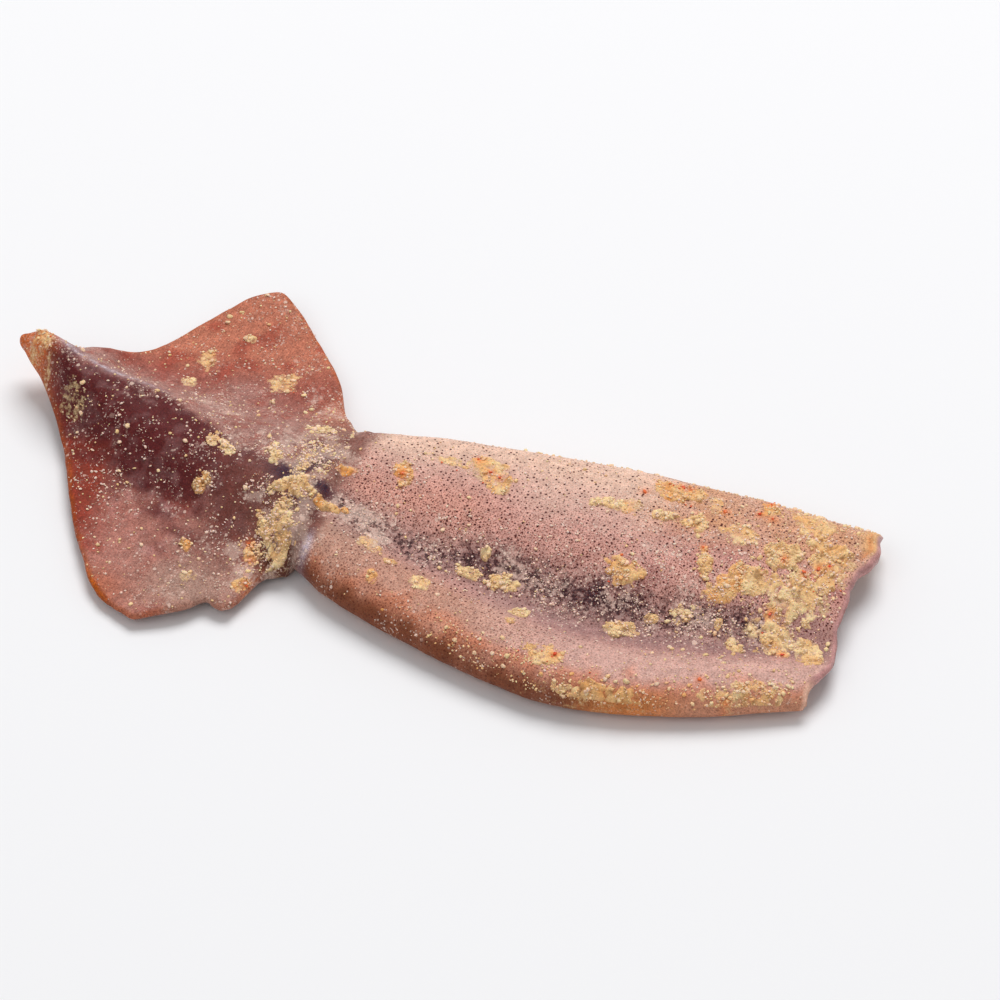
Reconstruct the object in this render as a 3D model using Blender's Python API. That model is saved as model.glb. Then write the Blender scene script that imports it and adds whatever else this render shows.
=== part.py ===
"""A rice bran pickled squid: a flattened mantle with its two tail fins, and bran stuck to its skin.

The squid lies flat, back up, with its mouth at +X and the fins at -X. The fin on the +Y side is the
far fin, the one on the -Y side the near fin. The origin is under the middle of its outline.
"""
import math

import bmesh
import bpy
import numpy as np
from mathutils import Vector, noise

MM = 0.001

# Driving sizes, in millimetres. X runs from the tail tip to the mouth, Y is 0 at the tail tip.
MOUTH_X = 243.6             # mean place of the cut mouth edge
ORIGIN_X = 121.7            # the middle of the outline, which becomes the origin
ORIGIN_Y = -10.0
MOUTH_REACH = 24.0          # length at the mouth that follows the ragged edge
SLIT_DEPTH = 16.0           # how far the flattened mouth stays open
SLIT_GAP = 2.4
SLIT_INSET = 3.0            # flesh at the slit's two ends
SLIT_LEVEL = 0.56           # the slit's height as a part of the body's
LIP_OVERHANG = 5.0          # how far the upper lip reaches out over the lower one
LIP_ROUNDING = 0.9
FIN_FRONT_X = 100.0         # where the fins' front margin lies on the mantle
FIN_STEP = 1.1              # height of that margin above the skin beside it
TAIL_LIFT = 7.0             # how far the tail tip is curled off the ground
TAIL_LIFT_LENGTH = 45.0
TAIL_END_X = -2.6           # the very end of the tail
TAIL_END_LENGTH = 8.0       # length of its rounded end
FOLD_RADIUS = 7.0           # rounding of the mantle's two side folds
ACROSS = 22                 # faces across the back, and as many across the underside

# Outlines: X, then the Y there
MANTLE_FAR = ((0, 3.5), (30, 1.5), (60, 2), (80, 5), (95, 10), (117, 17.4), (149, 25.2),
              (182, 31.4), (212, 35.7), (235, 38.4), (250, 39.8))
MANTLE_NEAR = ((0, -3), (20, -13), (40, -24), (60, -30), (80, -34), (100, -38.5), (112, -44),
               (137, -49.8), (163, -53.5), (178, -54.2), (191, -52), (213, -44), (235, -32),
               (250, -23))
FAR_FIN = ((0, 3.5), (14, 6.5), (20, 9.5), (27, 17), (36, 38), (46, 50.5), (51, 53), (55.5, 51),
           (62, 46.5), (72, 38.5), (80.5, 30), (88.5, 18), (97, 10.6))
NEAR_FIN = ((0, -3), (8, -7.8), (20, -20), (35, -41.8), (48, -59.5), (58, -69.5), (62, -71.3),
            (70, -72.8), (76.5, -68.7), (82, -63.6), (85.5, -58.8), (88.5, -59.8), (92, -58.5),
            (94, -50), (96, -43.5), (104, -40.7))
MOUTH_EDGE = ((-28, 244.3), (-21, 243.2), (-16, 244.6), (-12, 245.2), (-5, 243.3), (3, 240.4),
              (9, 240.2), (17, 238.6), (28, 241.2), (36, 237.8), (42, 237))

# Heights of the back: X, then millimetres above the ground
CREST = ((0, 17.5), (8, 20), (20, 18.5), (40, 17.5), (80, 17.5), (100, 17))
FAR_HUMP = ((95, 17), (160, 17), (200, 15.5), (235, 12), (250, 10.5))
NEAR_HUMP = ((95, 15), (160, 13), (200, 12), (240, 9.5), (250, 8.5))
VALLEY_DEPTH = ((100, 0.5), (120, 2), (150, 5), (185, 6), (235, 4), (250, 3))
CREST_Y = ((0, -0.5), (14, -5), (37, -10), (61, -15.4), (83, -17), (105, -19))
FAR_HUMP_AT, VALLEY_AT, NEAR_HUMP_AT = 0.5, -0.35, -0.74    # places across, from -1 near to 1 far

FIN_LEVEL = 4.2             # the back of a fin away from the body
FIN_THICKNESS = 2.3
FIN_ROOT_THICKNESS = 18.0

# Bran stuck to the skin, in clumps: middle X, middle Y, length, width, turn in degrees, clumps
BRAN_PATCHES = {
    "arc": (213, 1, 17, 7, 50, 5),
    "arc_end": (226, 2, 13, 9, -5, 4),
    "mouth_crust": (234, 16, 12, 16, 26, 6),
    "mouth_clump": (218, 12, 6, 9, 26, 2),
    "mouth_clump_small": (223, 13, 4, 9, 20, 2),
    "mouth_smear": (222, 28, 10, 9, 0, 2),
    "mouth_low_crust": (235, 6, 8, 10, 26, 3),
    "middle_paste": (230, -8, 16, 14, 10, 6),
    "mouth_paste": (236, -10, 6, 9, 26, 2),
    "stripe_paste": (219, -17, 7, 5, 0, 2),
    "stripe_dot": (213, -14, 4, 5, 26, 1),
    "cream_clump": (189, -25, 12, 6, 20, 4),
    "cream_dot": (196, -18, 4, 3, 26, 1),
    "white_crumbs": (203, -14, 7, 5, 40, 3),
    "crumbly": (185, -10, 11, 7, 10, 4),
    "narrow": (202, 1, 5, 9, 20, 3),
    "orange": (186, 22, 11, 7, 5, 4),
    "chain": (188, 12, 11, 4, 15, 3),
    "chain_end": (196, 12, 5, 6, 26, 2),
    "chilli_smear": (197, 22, 5, 8, 26, 2),
    "thin_smear": (206, 15, 11, 8, 5, 1),
    "orange_edge": (210, 28, 5, 6, 26, 2),
    "far_cream": (170, 8, 8, 5, 20, 2),
    "fold_smear": (227, -32, 24, 8, 22, 7),
    "fold_orange": (195, -44, 24, 8, 12, 7),
    "back_smear": (137, 6, 16, 12, 5, 4),
    "back_orange": (117, -5, 6, 7, 26, 2),
    "near_dot": (136, -37, 5, 6, 26, 1),
    "near_rear": (123, -40, 8, 7, 10, 2),
    "tail_tip": (7, -2, 7, 4, -35, 2),
    "tail_cream": (23, -15, 8, 11, -60, 3),
    "curled_clump": (68, -28, 5, 8, 26, 3),
    "crest_crumbs": (68, -17, 8, 9, 26, 3),
    "crest_crumbs_front": (82, -13, 8, 8, 26, 3),
    "junction_crumbs": (93, -23, 8, 9, 26, 4),
    "junction_stick": (103, -22, 11, 4, 12, 4),
    "chilli_clump": (88, -41, 5, 8, 26, 3),
    "junction_crust": (92, -33, 11, 11, 26, 5),
    "junction_edge": (98, -41, 5, 4, 20, 2),
    "near_fin_dot": (72, -45, 3, 3, 0, 1),
    "far_fin_patch": (44, 21, 6, 8, 26, 2),
    "far_fin_dot": (51, 34, 3, 3, 0, 1),
    "far_fin_front": (66, 24, 8, 11, 26, 2),
    "far_fin_root": (44, 11, 6, 5, 26, 1),
    "far_fin_edge": (70, 33, 4, 10, 50, 2),
    "near_fin_front": (92, -51, 6, 7, 60, 2),
    "near_fin_corner": (65, -68, 6, 4, 0, 2),
    "far_junction": (88, 4, 6, 5, 0, 2),
    "far_junction_crumbs": (96, -13, 10, 10, 26, 4),
}
CLUMP_RADIUS = (1.5, 2.9)   # smallest and largest
CLUMP_SEED = 11


def smoothstep(t):
    t = np.clip(t, 0.0, 1.0)
    return t * t * (3.0 - 2.0 * t)


def bell(t):
    return np.exp(-np.square(t))


def smooth_max(a, b, reach):
    """The larger of two heights, blended where they are closer than the reach."""
    mix = np.clip(0.5 + 0.5 * (a - b) / reach, 0.0, 1.0)
    return b + (a - b) * mix + reach * mix * (1.0 - mix)


def through(points, at):
    """A smooth curve through the points that never overshoots between two of them."""
    xs, ys = np.array(points, dtype=float).T
    at = np.clip(np.asarray(at, dtype=float), xs[0], xs[-1])
    steps = np.diff(xs)
    rises = np.diff(ys) / steps
    slopes = np.concatenate(([rises[0]], np.zeros(len(xs) - 2), [rises[-1]]))
    both = rises[:-1] * rises[1:]
    turning = both > 0
    slopes[1:-1][turning] = (2.0 * both / np.where(turning, rises[:-1] + rises[1:], 1.0))[turning]
    i = np.clip(np.searchsorted(xs, at) - 1, 0, len(steps) - 1)
    t = (at - xs[i]) / steps[i]
    rise = t * t * (3.0 - 2.0 * t)
    lean_in = t * (1.0 - t) ** 2 * steps[i]
    lean_out = t * t * (1.0 - t) * steps[i]
    return ys[i] + (ys[i + 1] - ys[i]) * rise + slopes[i] * lean_in - slopes[i + 1] * lean_out


def outline(x):
    """The near and the far edge of the whole squid at X."""
    fins = x < FIN_FRONT_X
    near = np.where(fins, np.minimum(through(MANTLE_NEAR, x), through(NEAR_FIN, x)),
                    through(MANTLE_NEAR, x))
    far = np.where(fins, np.maximum(through(MANTLE_FAR, x), through(FAR_FIN, x)),
                   through(MANTLE_FAR, x))
    return near, far


def across(x, y):
    """Where Y lies across the mantle: -1 on the near fold, 1 on the far fold."""
    near, far = through(MANTLE_NEAR, x), through(MANTLE_FAR, x)
    return (2.0 * y - near - far) / (far - near)


def from_crest(x, y):
    """The distance from the tail's crest, 1 at the body's side under the fins."""
    crest = through(CREST_Y, x)
    side = np.where(y < crest, crest - through(MANTLE_NEAR, x), through(MANTLE_FAR, x) - crest)
    return np.abs(y - crest) / (0.95 * side + 1.0)


def mantle_back(x, y):
    """The body's back: two humps with a sunken valley between them."""
    v = across(x, y)
    far, near = through(FAR_HUMP, x), through(NEAR_HUMP, x)
    blend = smoothstep((v - NEAR_HUMP_AT) / (FAR_HUMP_AT - NEAR_HUMP_AT))
    ridge = near + (far - near) * blend
    width = np.where(v < VALLEY_AT, VALLEY_AT - NEAR_HUMP_AT, 0.45)
    valley = through(VALLEY_DEPTH, x) * bell((v - VALLEY_AT) / width * 1.5)
    fall = 0.32 * ridge * smoothstep((np.abs(v) - 0.55) / 0.75)
    return ridge - valley - fall


def fin_sheet(x, y):
    """The fins' back with the tail's ridge running through them."""
    crest = through(CREST_Y, x)
    far_side = smoothstep((y - crest) / 12.0)
    level = FIN_LEVEL + 5.0 * np.square(np.clip(1.0 - x / 40.0, 0.0, 1.0))
    curl = 6.5 * bell((x - 19.0) / 7.0) * far_side * bell((y - 8.0) / 14.0)
    corner = 4.0 * bell((x - 50.0) / 12.0) * bell((y - 52.0) / 12.0)
    wave = 0.7 * np.sin(0.21 * x + 0.9) * np.sin(0.13 * y + 0.4)
    level = level + curl + corner + wave * smoothstep(from_crest(x, y) - 0.8)
    return level + (through(CREST, x) - level) / (1.0 + from_crest(x, y) ** 3.4)


def back(x, y):
    """The upper surface, before its edges are rounded."""
    blend = smoothstep((x - FIN_FRONT_X + 7.0) / 11.0)
    step = FIN_STEP * smoothstep((x - FIN_FRONT_X + 14.0) / 12.0) * (x < FIN_FRONT_X + 0.5)
    hollow = 4.5 * bell((x - 95.0) / 3.6) * bell((y + 40.0) / 4.2)
    return (1.0 - blend) * fin_sheet(x, y) + blend * mantle_back(x, y) + step - hollow


def underside(x, y):
    """The lower surface: the body lies on the ground, the fins and the curled tail tip do not."""
    lift = TAIL_LIFT * np.square(np.clip(1.0 - x / TAIL_LIFT_LENGTH, 0.0, 1.0))
    top = back(x, y)
    root = FIN_ROOT_THICKNESS / (1.0 + from_crest(x, y) ** 4)
    fin = smooth_max(top - FIN_THICKNESS - root, lift, 2.0)
    return np.where(x < FIN_FRONT_X, fin * smoothstep((FIN_FRONT_X - x) / 9.0), 0.0)


def edge_distance(x, y):
    """The distance to the outline, square to it."""
    near, far = outline(x)
    near_b, far_b = outline(x + 0.5)
    near_d = (y - near) / np.hypot(1.0, (near_b - near) / 0.5)
    far_d = (far - y) / np.hypot(1.0, (far_b - far) / 0.5)
    return np.where(near_d < far_d, near_d, far_d), np.where(near_d < far_d, near, far)


def surfaces(x, y):
    """The heights of the back and of the underside, with the outline's edge rounded."""
    distance, edge = edge_distance(x, y)
    edge_top, edge_bottom = back(x, edge), underside(x, edge)
    middle = 0.5 * (edge_top + edge_bottom)
    radius = np.clip(0.75 * (edge_top - edge_bottom), 1.2, FOLD_RADIUS)
    inward = 1.0 - np.clip(distance / radius, 0.0, 1.0)
    grow = np.sqrt(np.clip(1.0 - inward * inward, 0.0, 1.0))
    return middle + (back(x, y) - middle) * grow, middle + (underside(x, y) - middle) * grow


def mouth_shift(x, y):
    """How far the ragged mouth edge lies from the straight one, faded out along the body."""
    return (through(MOUTH_EDGE, y) - MOUTH_X) * smoothstep((x - MOUTH_X + MOUTH_REACH) / MOUTH_REACH)


def tail_round(x):
    """How much of its full size the tail has at X: it closes in a rounded end."""
    inward = 1.0 - np.clip((x - TAIL_END_X) / TAIL_END_LENGTH, 0.0, 1.0)
    return math.sqrt(max(1.0 - inward * inward, 0.0))


def columns(x, inset=0.0):
    """Points across the body at X, closer together at its edges, and how far round each one is."""
    near, far = outline(np.array([x]))
    turn = np.linspace(0.0, math.pi, ACROSS + 1)
    y = 0.5 * (near + far) - (0.5 * (far - near) - inset) * np.cos(turn)
    return np.full(y.shape, x), y, turn


def set_back(x, turn):
    """How far the underside ends short of the back near the mouth, nothing at the side folds."""
    reach = smoothstep((x - MOUTH_X + MOUTH_REACH) / MOUTH_REACH)
    return LIP_OVERHANG * reach * np.sqrt(np.clip(np.sin(turn) / 0.35, 0.0, 1.0))


def close_ring(x, y, turn, top, bottom):
    """One closed row of points, from the near edge over the back and round the underside."""
    ragged = x + mouth_shift(x, y)
    over = np.stack([ragged, y, top], axis=1)
    under = np.stack([ragged - set_back(x, turn), y, bottom], axis=1)[-2:0:-1]
    return np.concatenate([over, under])


def skin_ring(x, shave=0.0):
    """The skin round the body at X, or a row shaved in from it."""
    rows, y, turn = columns(x, shave)
    top, bottom = surfaces(rows, y)
    thickness = np.maximum(top - bottom, 0.0)
    shave_here = np.minimum(shave, 0.4 * thickness)
    points = close_ring(rows, y, turn, top - shave_here, bottom + shave_here)
    points[:, 0] += shave
    middle = points.mean(axis=0)
    return middle + (points - middle) * tail_round(x)


def slit_ring(x, gap):
    """The inner walls of the flattened mouth at X, the gap apart at its middle."""
    rows, y, turn = columns(x, SLIT_INSET)
    top, _ = surfaces(rows, y)
    middle = SLIT_LEVEL * top
    half = 0.5 * gap * np.sqrt(np.clip(np.sin(turn), 0.04, 1.0))
    return close_ring(rows, y, turn, middle + half, middle - half)


def stations():
    """Where the rings stand along the body, closer together where the form turns."""
    spans = ((TAIL_END_X + 0.5, 6.0, 5), (6.0, 44.0, 11), (44.0, 60.0, 6), (60.0, 88.0, 9), (88.0, 99.6, 6),
             (100.8, 120.0, 5), (120.0, 220.0, 13), (220.0, MOUTH_X, 6))
    places = []
    for start, end, steps in spans:
        places += [start + (end - start) * i / steps for i in range(steps + 1)]
    return sorted(set(round(place, 3) for place in places))


def body_mesh():
    """The whole body as one closed skin, with the mouth's slit turned inwards."""
    rings = [skin_ring(x) for x in stations()]
    rings.append(skin_ring(MOUTH_X, LIP_ROUNDING))
    rings.append(slit_ring(MOUTH_X + 0.5 * LIP_ROUNDING, SLIT_GAP))
    rings.append(slit_ring(MOUTH_X - 0.5 * SLIT_DEPTH, SLIT_GAP))
    rings.append(slit_ring(MOUTH_X - SLIT_DEPTH, 0.5 * SLIT_GAP))
    count = 2 * ACROSS
    bm = bmesh.new()
    rows = []
    for points in rings:
        rows.append([bm.verts.new(Vector(point)) for point in points])
    tip = rings[0].mean(axis=0)
    tip[0] = TAIL_END_X
    tip_vert = bm.verts.new(Vector(tip))
    for i in range(count):
        j = (i + 1) % count
        bm.faces.new((rows[0][j], rows[0][i], tip_vert))
        for before, after in zip(rows[:-1], rows[1:]):
            bm.faces.new((before[i], before[j], after[j], after[i]))
    last = rows[-1]
    for i in range(1, ACROSS - 1):
        bm.faces.new((last[i], last[i + 1], last[count - i - 1], last[count - i]))
    bm.faces.new((last[0], last[1], last[count - 1]))
    bm.faces.new((last[ACROSS - 1], last[ACROSS], last[ACROSS + 1]))
    bmesh.ops.recalc_face_normals(bm, faces=bm.faces)
    bmesh.ops.triangulate(bm, faces=bm.faces)
    return bm


def material(name, colour, roughness):
    mat = bpy.data.materials.new(name)
    mat.use_nodes = True
    shader = mat.node_tree.nodes["Principled BSDF"]
    shader.inputs["Base Color"].default_value = (*colour, 1.0)
    shader.inputs["Roughness"].default_value = roughness
    shader.inputs["Metallic"].default_value = 0.0
    return mat


def to_frame(bm):
    """Millimetres from the tail tip become metres from the origin."""
    for vert in bm.verts:
        vert.co = (vert.co - Vector((ORIGIN_X, ORIGIN_Y, 0.0))) * MM


def clump_places():
    """Where the bran clumps lie and how large they are, spread evenly over each patch."""
    rng = np.random.default_rng(CLUMP_SEED)
    places = []
    for middle_x, middle_y, length, width, turn, count in BRAN_PATCHES.values():
        along = np.array([math.cos(math.radians(turn)), math.sin(math.radians(turn))])
        aside = np.array([-along[1], along[0]])
        for i in range(count):
            reach = math.sqrt((i + 0.5) / count)
            angle = i * math.radians(137.5) + rng.uniform(-0.3, 0.3)
            offset = along * (0.5 * length * reach * math.cos(angle))
            offset = offset + aside * (0.5 * width * reach * math.sin(angle))
            x, y = middle_x + offset[0], middle_y + offset[1]
            size = CLUMP_RADIUS[1] - (CLUMP_RADIUS[1] - CLUMP_RADIUS[0]) * reach
            size *= rng.uniform(0.85, 1.1)
            room = float(edge_distance(np.array([x]), np.array([y]))[0][0])
            if room > 1.3 * size:
                places.append((x, y, size))
    return sorted(places, key=lambda place: -place[2])


def clump(name, x, y, radius, mat):
    """One flattened knobbly lump of bran, half sunk in the skin."""
    bm = bmesh.new()
    bmesh.ops.create_icosphere(bm, subdivisions=1, radius=radius)
    top = float(surfaces(np.array([x]), np.array([y]))[0][0])
    for vert in bm.verts:
        push = 1.0 + 0.28 * noise.noise(vert.co * 0.55 + Vector((x, y, 3.0)))
        vert.co *= push
        vert.co.z *= 0.55
        vert.co += Vector((x, y, top + 0.1 * radius))
    to_frame(bm)
    mesh = bpy.data.meshes.new(name)
    bm.to_mesh(mesh)
    bm.free()
    mesh.materials.append(mat)
    return bpy.data.objects.new(name, mesh)


def largest_piece(mesh):
    """Keep the outer skin only: no loose scraps and no closed hollows inside."""
    bm = bmesh.new()
    bm.from_mesh(mesh)
    left = set(bm.verts)
    pieces = []
    while left:
        queue = [left.pop()]
        piece = set(queue)
        while queue:
            for edge in queue.pop().link_edges:
                for vert in edge.verts:
                    if vert in left:
                        left.discard(vert)
                        piece.add(vert)
                        queue.append(vert)
        pieces.append(piece)
    keep = max(pieces, key=len)
    bmesh.ops.delete(bm, geom=[vert for vert in bm.verts if vert not in keep], context="VERTS")
    bmesh.ops.triangulate(bm, faces=bm.faces)
    bm.to_mesh(mesh)
    bm.free()


def fuse(squid, clumps):
    """Join the clumps to the body with one Boolean union."""
    group = bpy.data.collections.new("bran_clumps")
    bpy.context.scene.collection.children.link(group)
    for piece in clumps:
        group.objects.link(piece)
    union = squid.modifiers.new("fuse_bran", "BOOLEAN")
    union.operation = "UNION"
    union.operand_type = "COLLECTION"
    union.solver = "EXACT"
    union.collection = group
    graph = bpy.context.evaluated_depsgraph_get()
    fused = bpy.data.meshes.new_from_object(squid.evaluated_get(graph))
    squid.modifiers.clear()
    squid.data = fused
    for piece in clumps:
        bpy.data.objects.remove(piece)
    bpy.data.collections.remove(group)
    largest_piece(fused)


def main():
    for old in list(bpy.data.objects):
        bpy.data.objects.remove(old)
    flesh = material("pickled_squid_skin", (0.42, 0.25, 0.19), 0.45)
    bran = material("rice_bran_paste", (0.66, 0.45, 0.22), 0.8)
    bm = body_mesh()
    to_frame(bm)
    mesh = bpy.data.meshes.new("squid")
    bm.to_mesh(mesh)
    bm.free()
    mesh.materials.append(flesh)
    squid = bpy.data.objects.new("squid", mesh)
    bpy.context.scene.collection.objects.link(squid)
    clumps = [clump(f"bran_{i:03d}", x, y, radius, bran)
              for i, (x, y, radius) in enumerate(clump_places())]
    fuse(squid, clumps)
    squid.data.shade_smooth()
    squid.data.set_sharp_from_angle(angle=math.radians(50))


main()
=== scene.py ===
"""The looks of a rice bran pickled squid: spotted skin, bran paste and crumbs, chilli flecks.

The detailed body stands in for the solid squid. It follows the same outline and heights, in
millimetres from the tail tip, and is moved to the frame's origin when its mesh is made.
"""
import math

import bmesh
import bpy
import numpy as np
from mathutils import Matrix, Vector


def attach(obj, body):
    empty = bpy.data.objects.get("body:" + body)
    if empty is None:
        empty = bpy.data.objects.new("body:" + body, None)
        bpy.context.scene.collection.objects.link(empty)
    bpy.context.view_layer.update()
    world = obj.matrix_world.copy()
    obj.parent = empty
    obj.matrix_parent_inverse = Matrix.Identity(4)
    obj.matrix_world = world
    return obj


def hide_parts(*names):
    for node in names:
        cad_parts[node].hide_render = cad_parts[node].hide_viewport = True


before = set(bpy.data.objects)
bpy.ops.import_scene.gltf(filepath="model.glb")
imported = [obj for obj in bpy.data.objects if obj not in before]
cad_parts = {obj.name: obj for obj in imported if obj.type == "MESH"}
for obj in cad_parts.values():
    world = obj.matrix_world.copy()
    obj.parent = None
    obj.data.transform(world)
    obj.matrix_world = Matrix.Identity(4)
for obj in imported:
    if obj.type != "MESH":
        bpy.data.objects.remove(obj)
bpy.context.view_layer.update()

MM = 0.001

# The squid's sizes, in millimetres. X runs from the tail tip to the mouth, Y is 0 at the tail tip.
MOUTH_X = 243.6
ORIGIN_X = 121.7
ORIGIN_Y = -10
MOUTH_REACH = 24
SLIT_DEPTH = 16
SLIT_GAP = 2.4
SLIT_INSET = 3
SLIT_LEVEL = 0.56
LIP_OVERHANG = 5
LIP_ROUNDING = 0.9
FIN_FRONT_X = 100
FIN_STEP = 1.1
TAIL_LIFT = 7
TAIL_LIFT_LENGTH = 45
TAIL_END_X = -2.6
TAIL_END_LENGTH = 8
FOLD_RADIUS = 7
FIN_LEVEL = 4.2
FIN_THICKNESS = 2.3
FIN_ROOT_THICKNESS = 18

# Outlines: X, then the Y there
MANTLE_FAR = ((0, 3.5), (30, 1.5), (60, 2), (80, 5), (95, 10), (117, 17.4), (149, 25.2),
              (182, 31.4), (212, 35.7), (235, 38.4), (250, 39.8))
MANTLE_NEAR = ((0, -3), (20, -13), (40, -24), (60, -30), (80, -34), (100, -38.5), (112, -44),
               (137, -49.8), (163, -53.5), (178, -54.2), (191, -52), (213, -44), (235, -32),
               (250, -23))
FAR_FIN = ((0, 3.5), (14, 6.5), (20, 9.5), (27, 17), (36, 38), (46, 50.5), (51, 53), (55.5, 51),
           (62, 46.5), (72, 38.5), (80.5, 30), (88.5, 18), (97, 10.6))
NEAR_FIN = ((0, -3), (8, -7.8), (20, -20), (35, -41.8), (48, -59.5), (58, -69.5), (62, -71.3),
            (70, -72.8), (76.5, -68.7), (82, -63.6), (85.5, -58.8), (88.5, -59.8), (92, -58.5),
            (94, -50), (96, -43.5), (104, -40.7))
MOUTH_EDGE = ((-28, 244.3), (-21, 243.2), (-16, 244.6), (-12, 245.2), (-5, 243.3), (3, 240.4),
              (9, 240.2), (17, 238.6), (28, 241.2), (36, 237.8), (42, 237))

# Heights of the back: X, then millimetres above the ground
CREST = ((0, 17.5), (8, 20), (20, 18.5), (40, 17.5), (80, 17.5), (100, 17))
FAR_HUMP = ((95, 17), (160, 17), (200, 15.5), (235, 12), (250, 10.5))
NEAR_HUMP = ((95, 15), (160, 13), (200, 12), (240, 9.5), (250, 8.5))
VALLEY_DEPTH = ((100, 0.5), (120, 2), (150, 5), (185, 6), (235, 4), (250, 3))
CREST_Y = ((0, -0.5), (14, -5), (37, -10), (61, -15.4), (83, -17), (105, -19))
FAR_HUMP_AT, VALLEY_AT, NEAR_HUMP_AT = 0.5, -0.35, -0.74

# Areas of the skin that differ: middle X and Y, reach along X and along Y
AREAS = {
    "fin_curl": (19, 8, 7, 14),
    "far_fin_corner": (50, 52, 12, 12),
    "far_fin_pale": (60, 15, 9, 6),
    "far_fin_front": (88, 17, 7, 9),
    "near_fin_sheen": (79, -57, 15, 14),
    "near_fin_corner": (56, -67, 8, 6),
    "near_fin_front": (82, -42, 8, 8),
    "near_fin_smear": (57, -37, 12, 8),
    "near_fin_smear_low": (63, -49, 7, 5),
    "near_fin_dust": (48, -30, 16, 12),
    "near_hollow": (95, -40, 3.6, 4.2),
    "near_hollow_shade": (95.5, -41, 3.5, 4),
    "dark_hollow": (100, -19.4, 3.8, 2.4),
    "dark_hollow_rear": (87.4, -18.6, 3.8, 2.8),
    "meeting_film": (93, -22, 10, 24),
    "meeting_dust": (91, -24, 9, 24),
    "shoulder_shine": (103.6, -36.3, 1.3, 3),
    "shoulder_grey": (111, -27, 11, 8),
    "near_side_pale": (159, -35, 8, 6),
    "mouth_lavender": (235, -2, 6, 4.5),
}
NEAR_HOLLOW_DEPTH = 4.5
FIN_CURL_HEIGHT = 6.5
FAR_CORNER_HEIGHT = 4

# Fineness of the detailed body
ROW_STEP = 0.8
OVER_COUNT = 170
UNDER_COUNT = 80

# The dark stripe along the sunken valley: X, then how far across the body, -1 near to 1 far
STRIPE_AT = ((100, -0.2), (116, -0.3), (132, -0.32), (147, -0.2), (182, -0.18), (198, -0.21),
             (212, -0.17), (230, -0.28), (245, -0.34))

# Where the ridge's near side, maroon and partly in painted shade, meets its far side in painted
# sheen: X, Y
DARK_SIDE_Y = ((0, 0.5), (12, -2.3), (28, -5.3), (42, -4), (64, -10.8), (83, -15), (105, -19))

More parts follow.
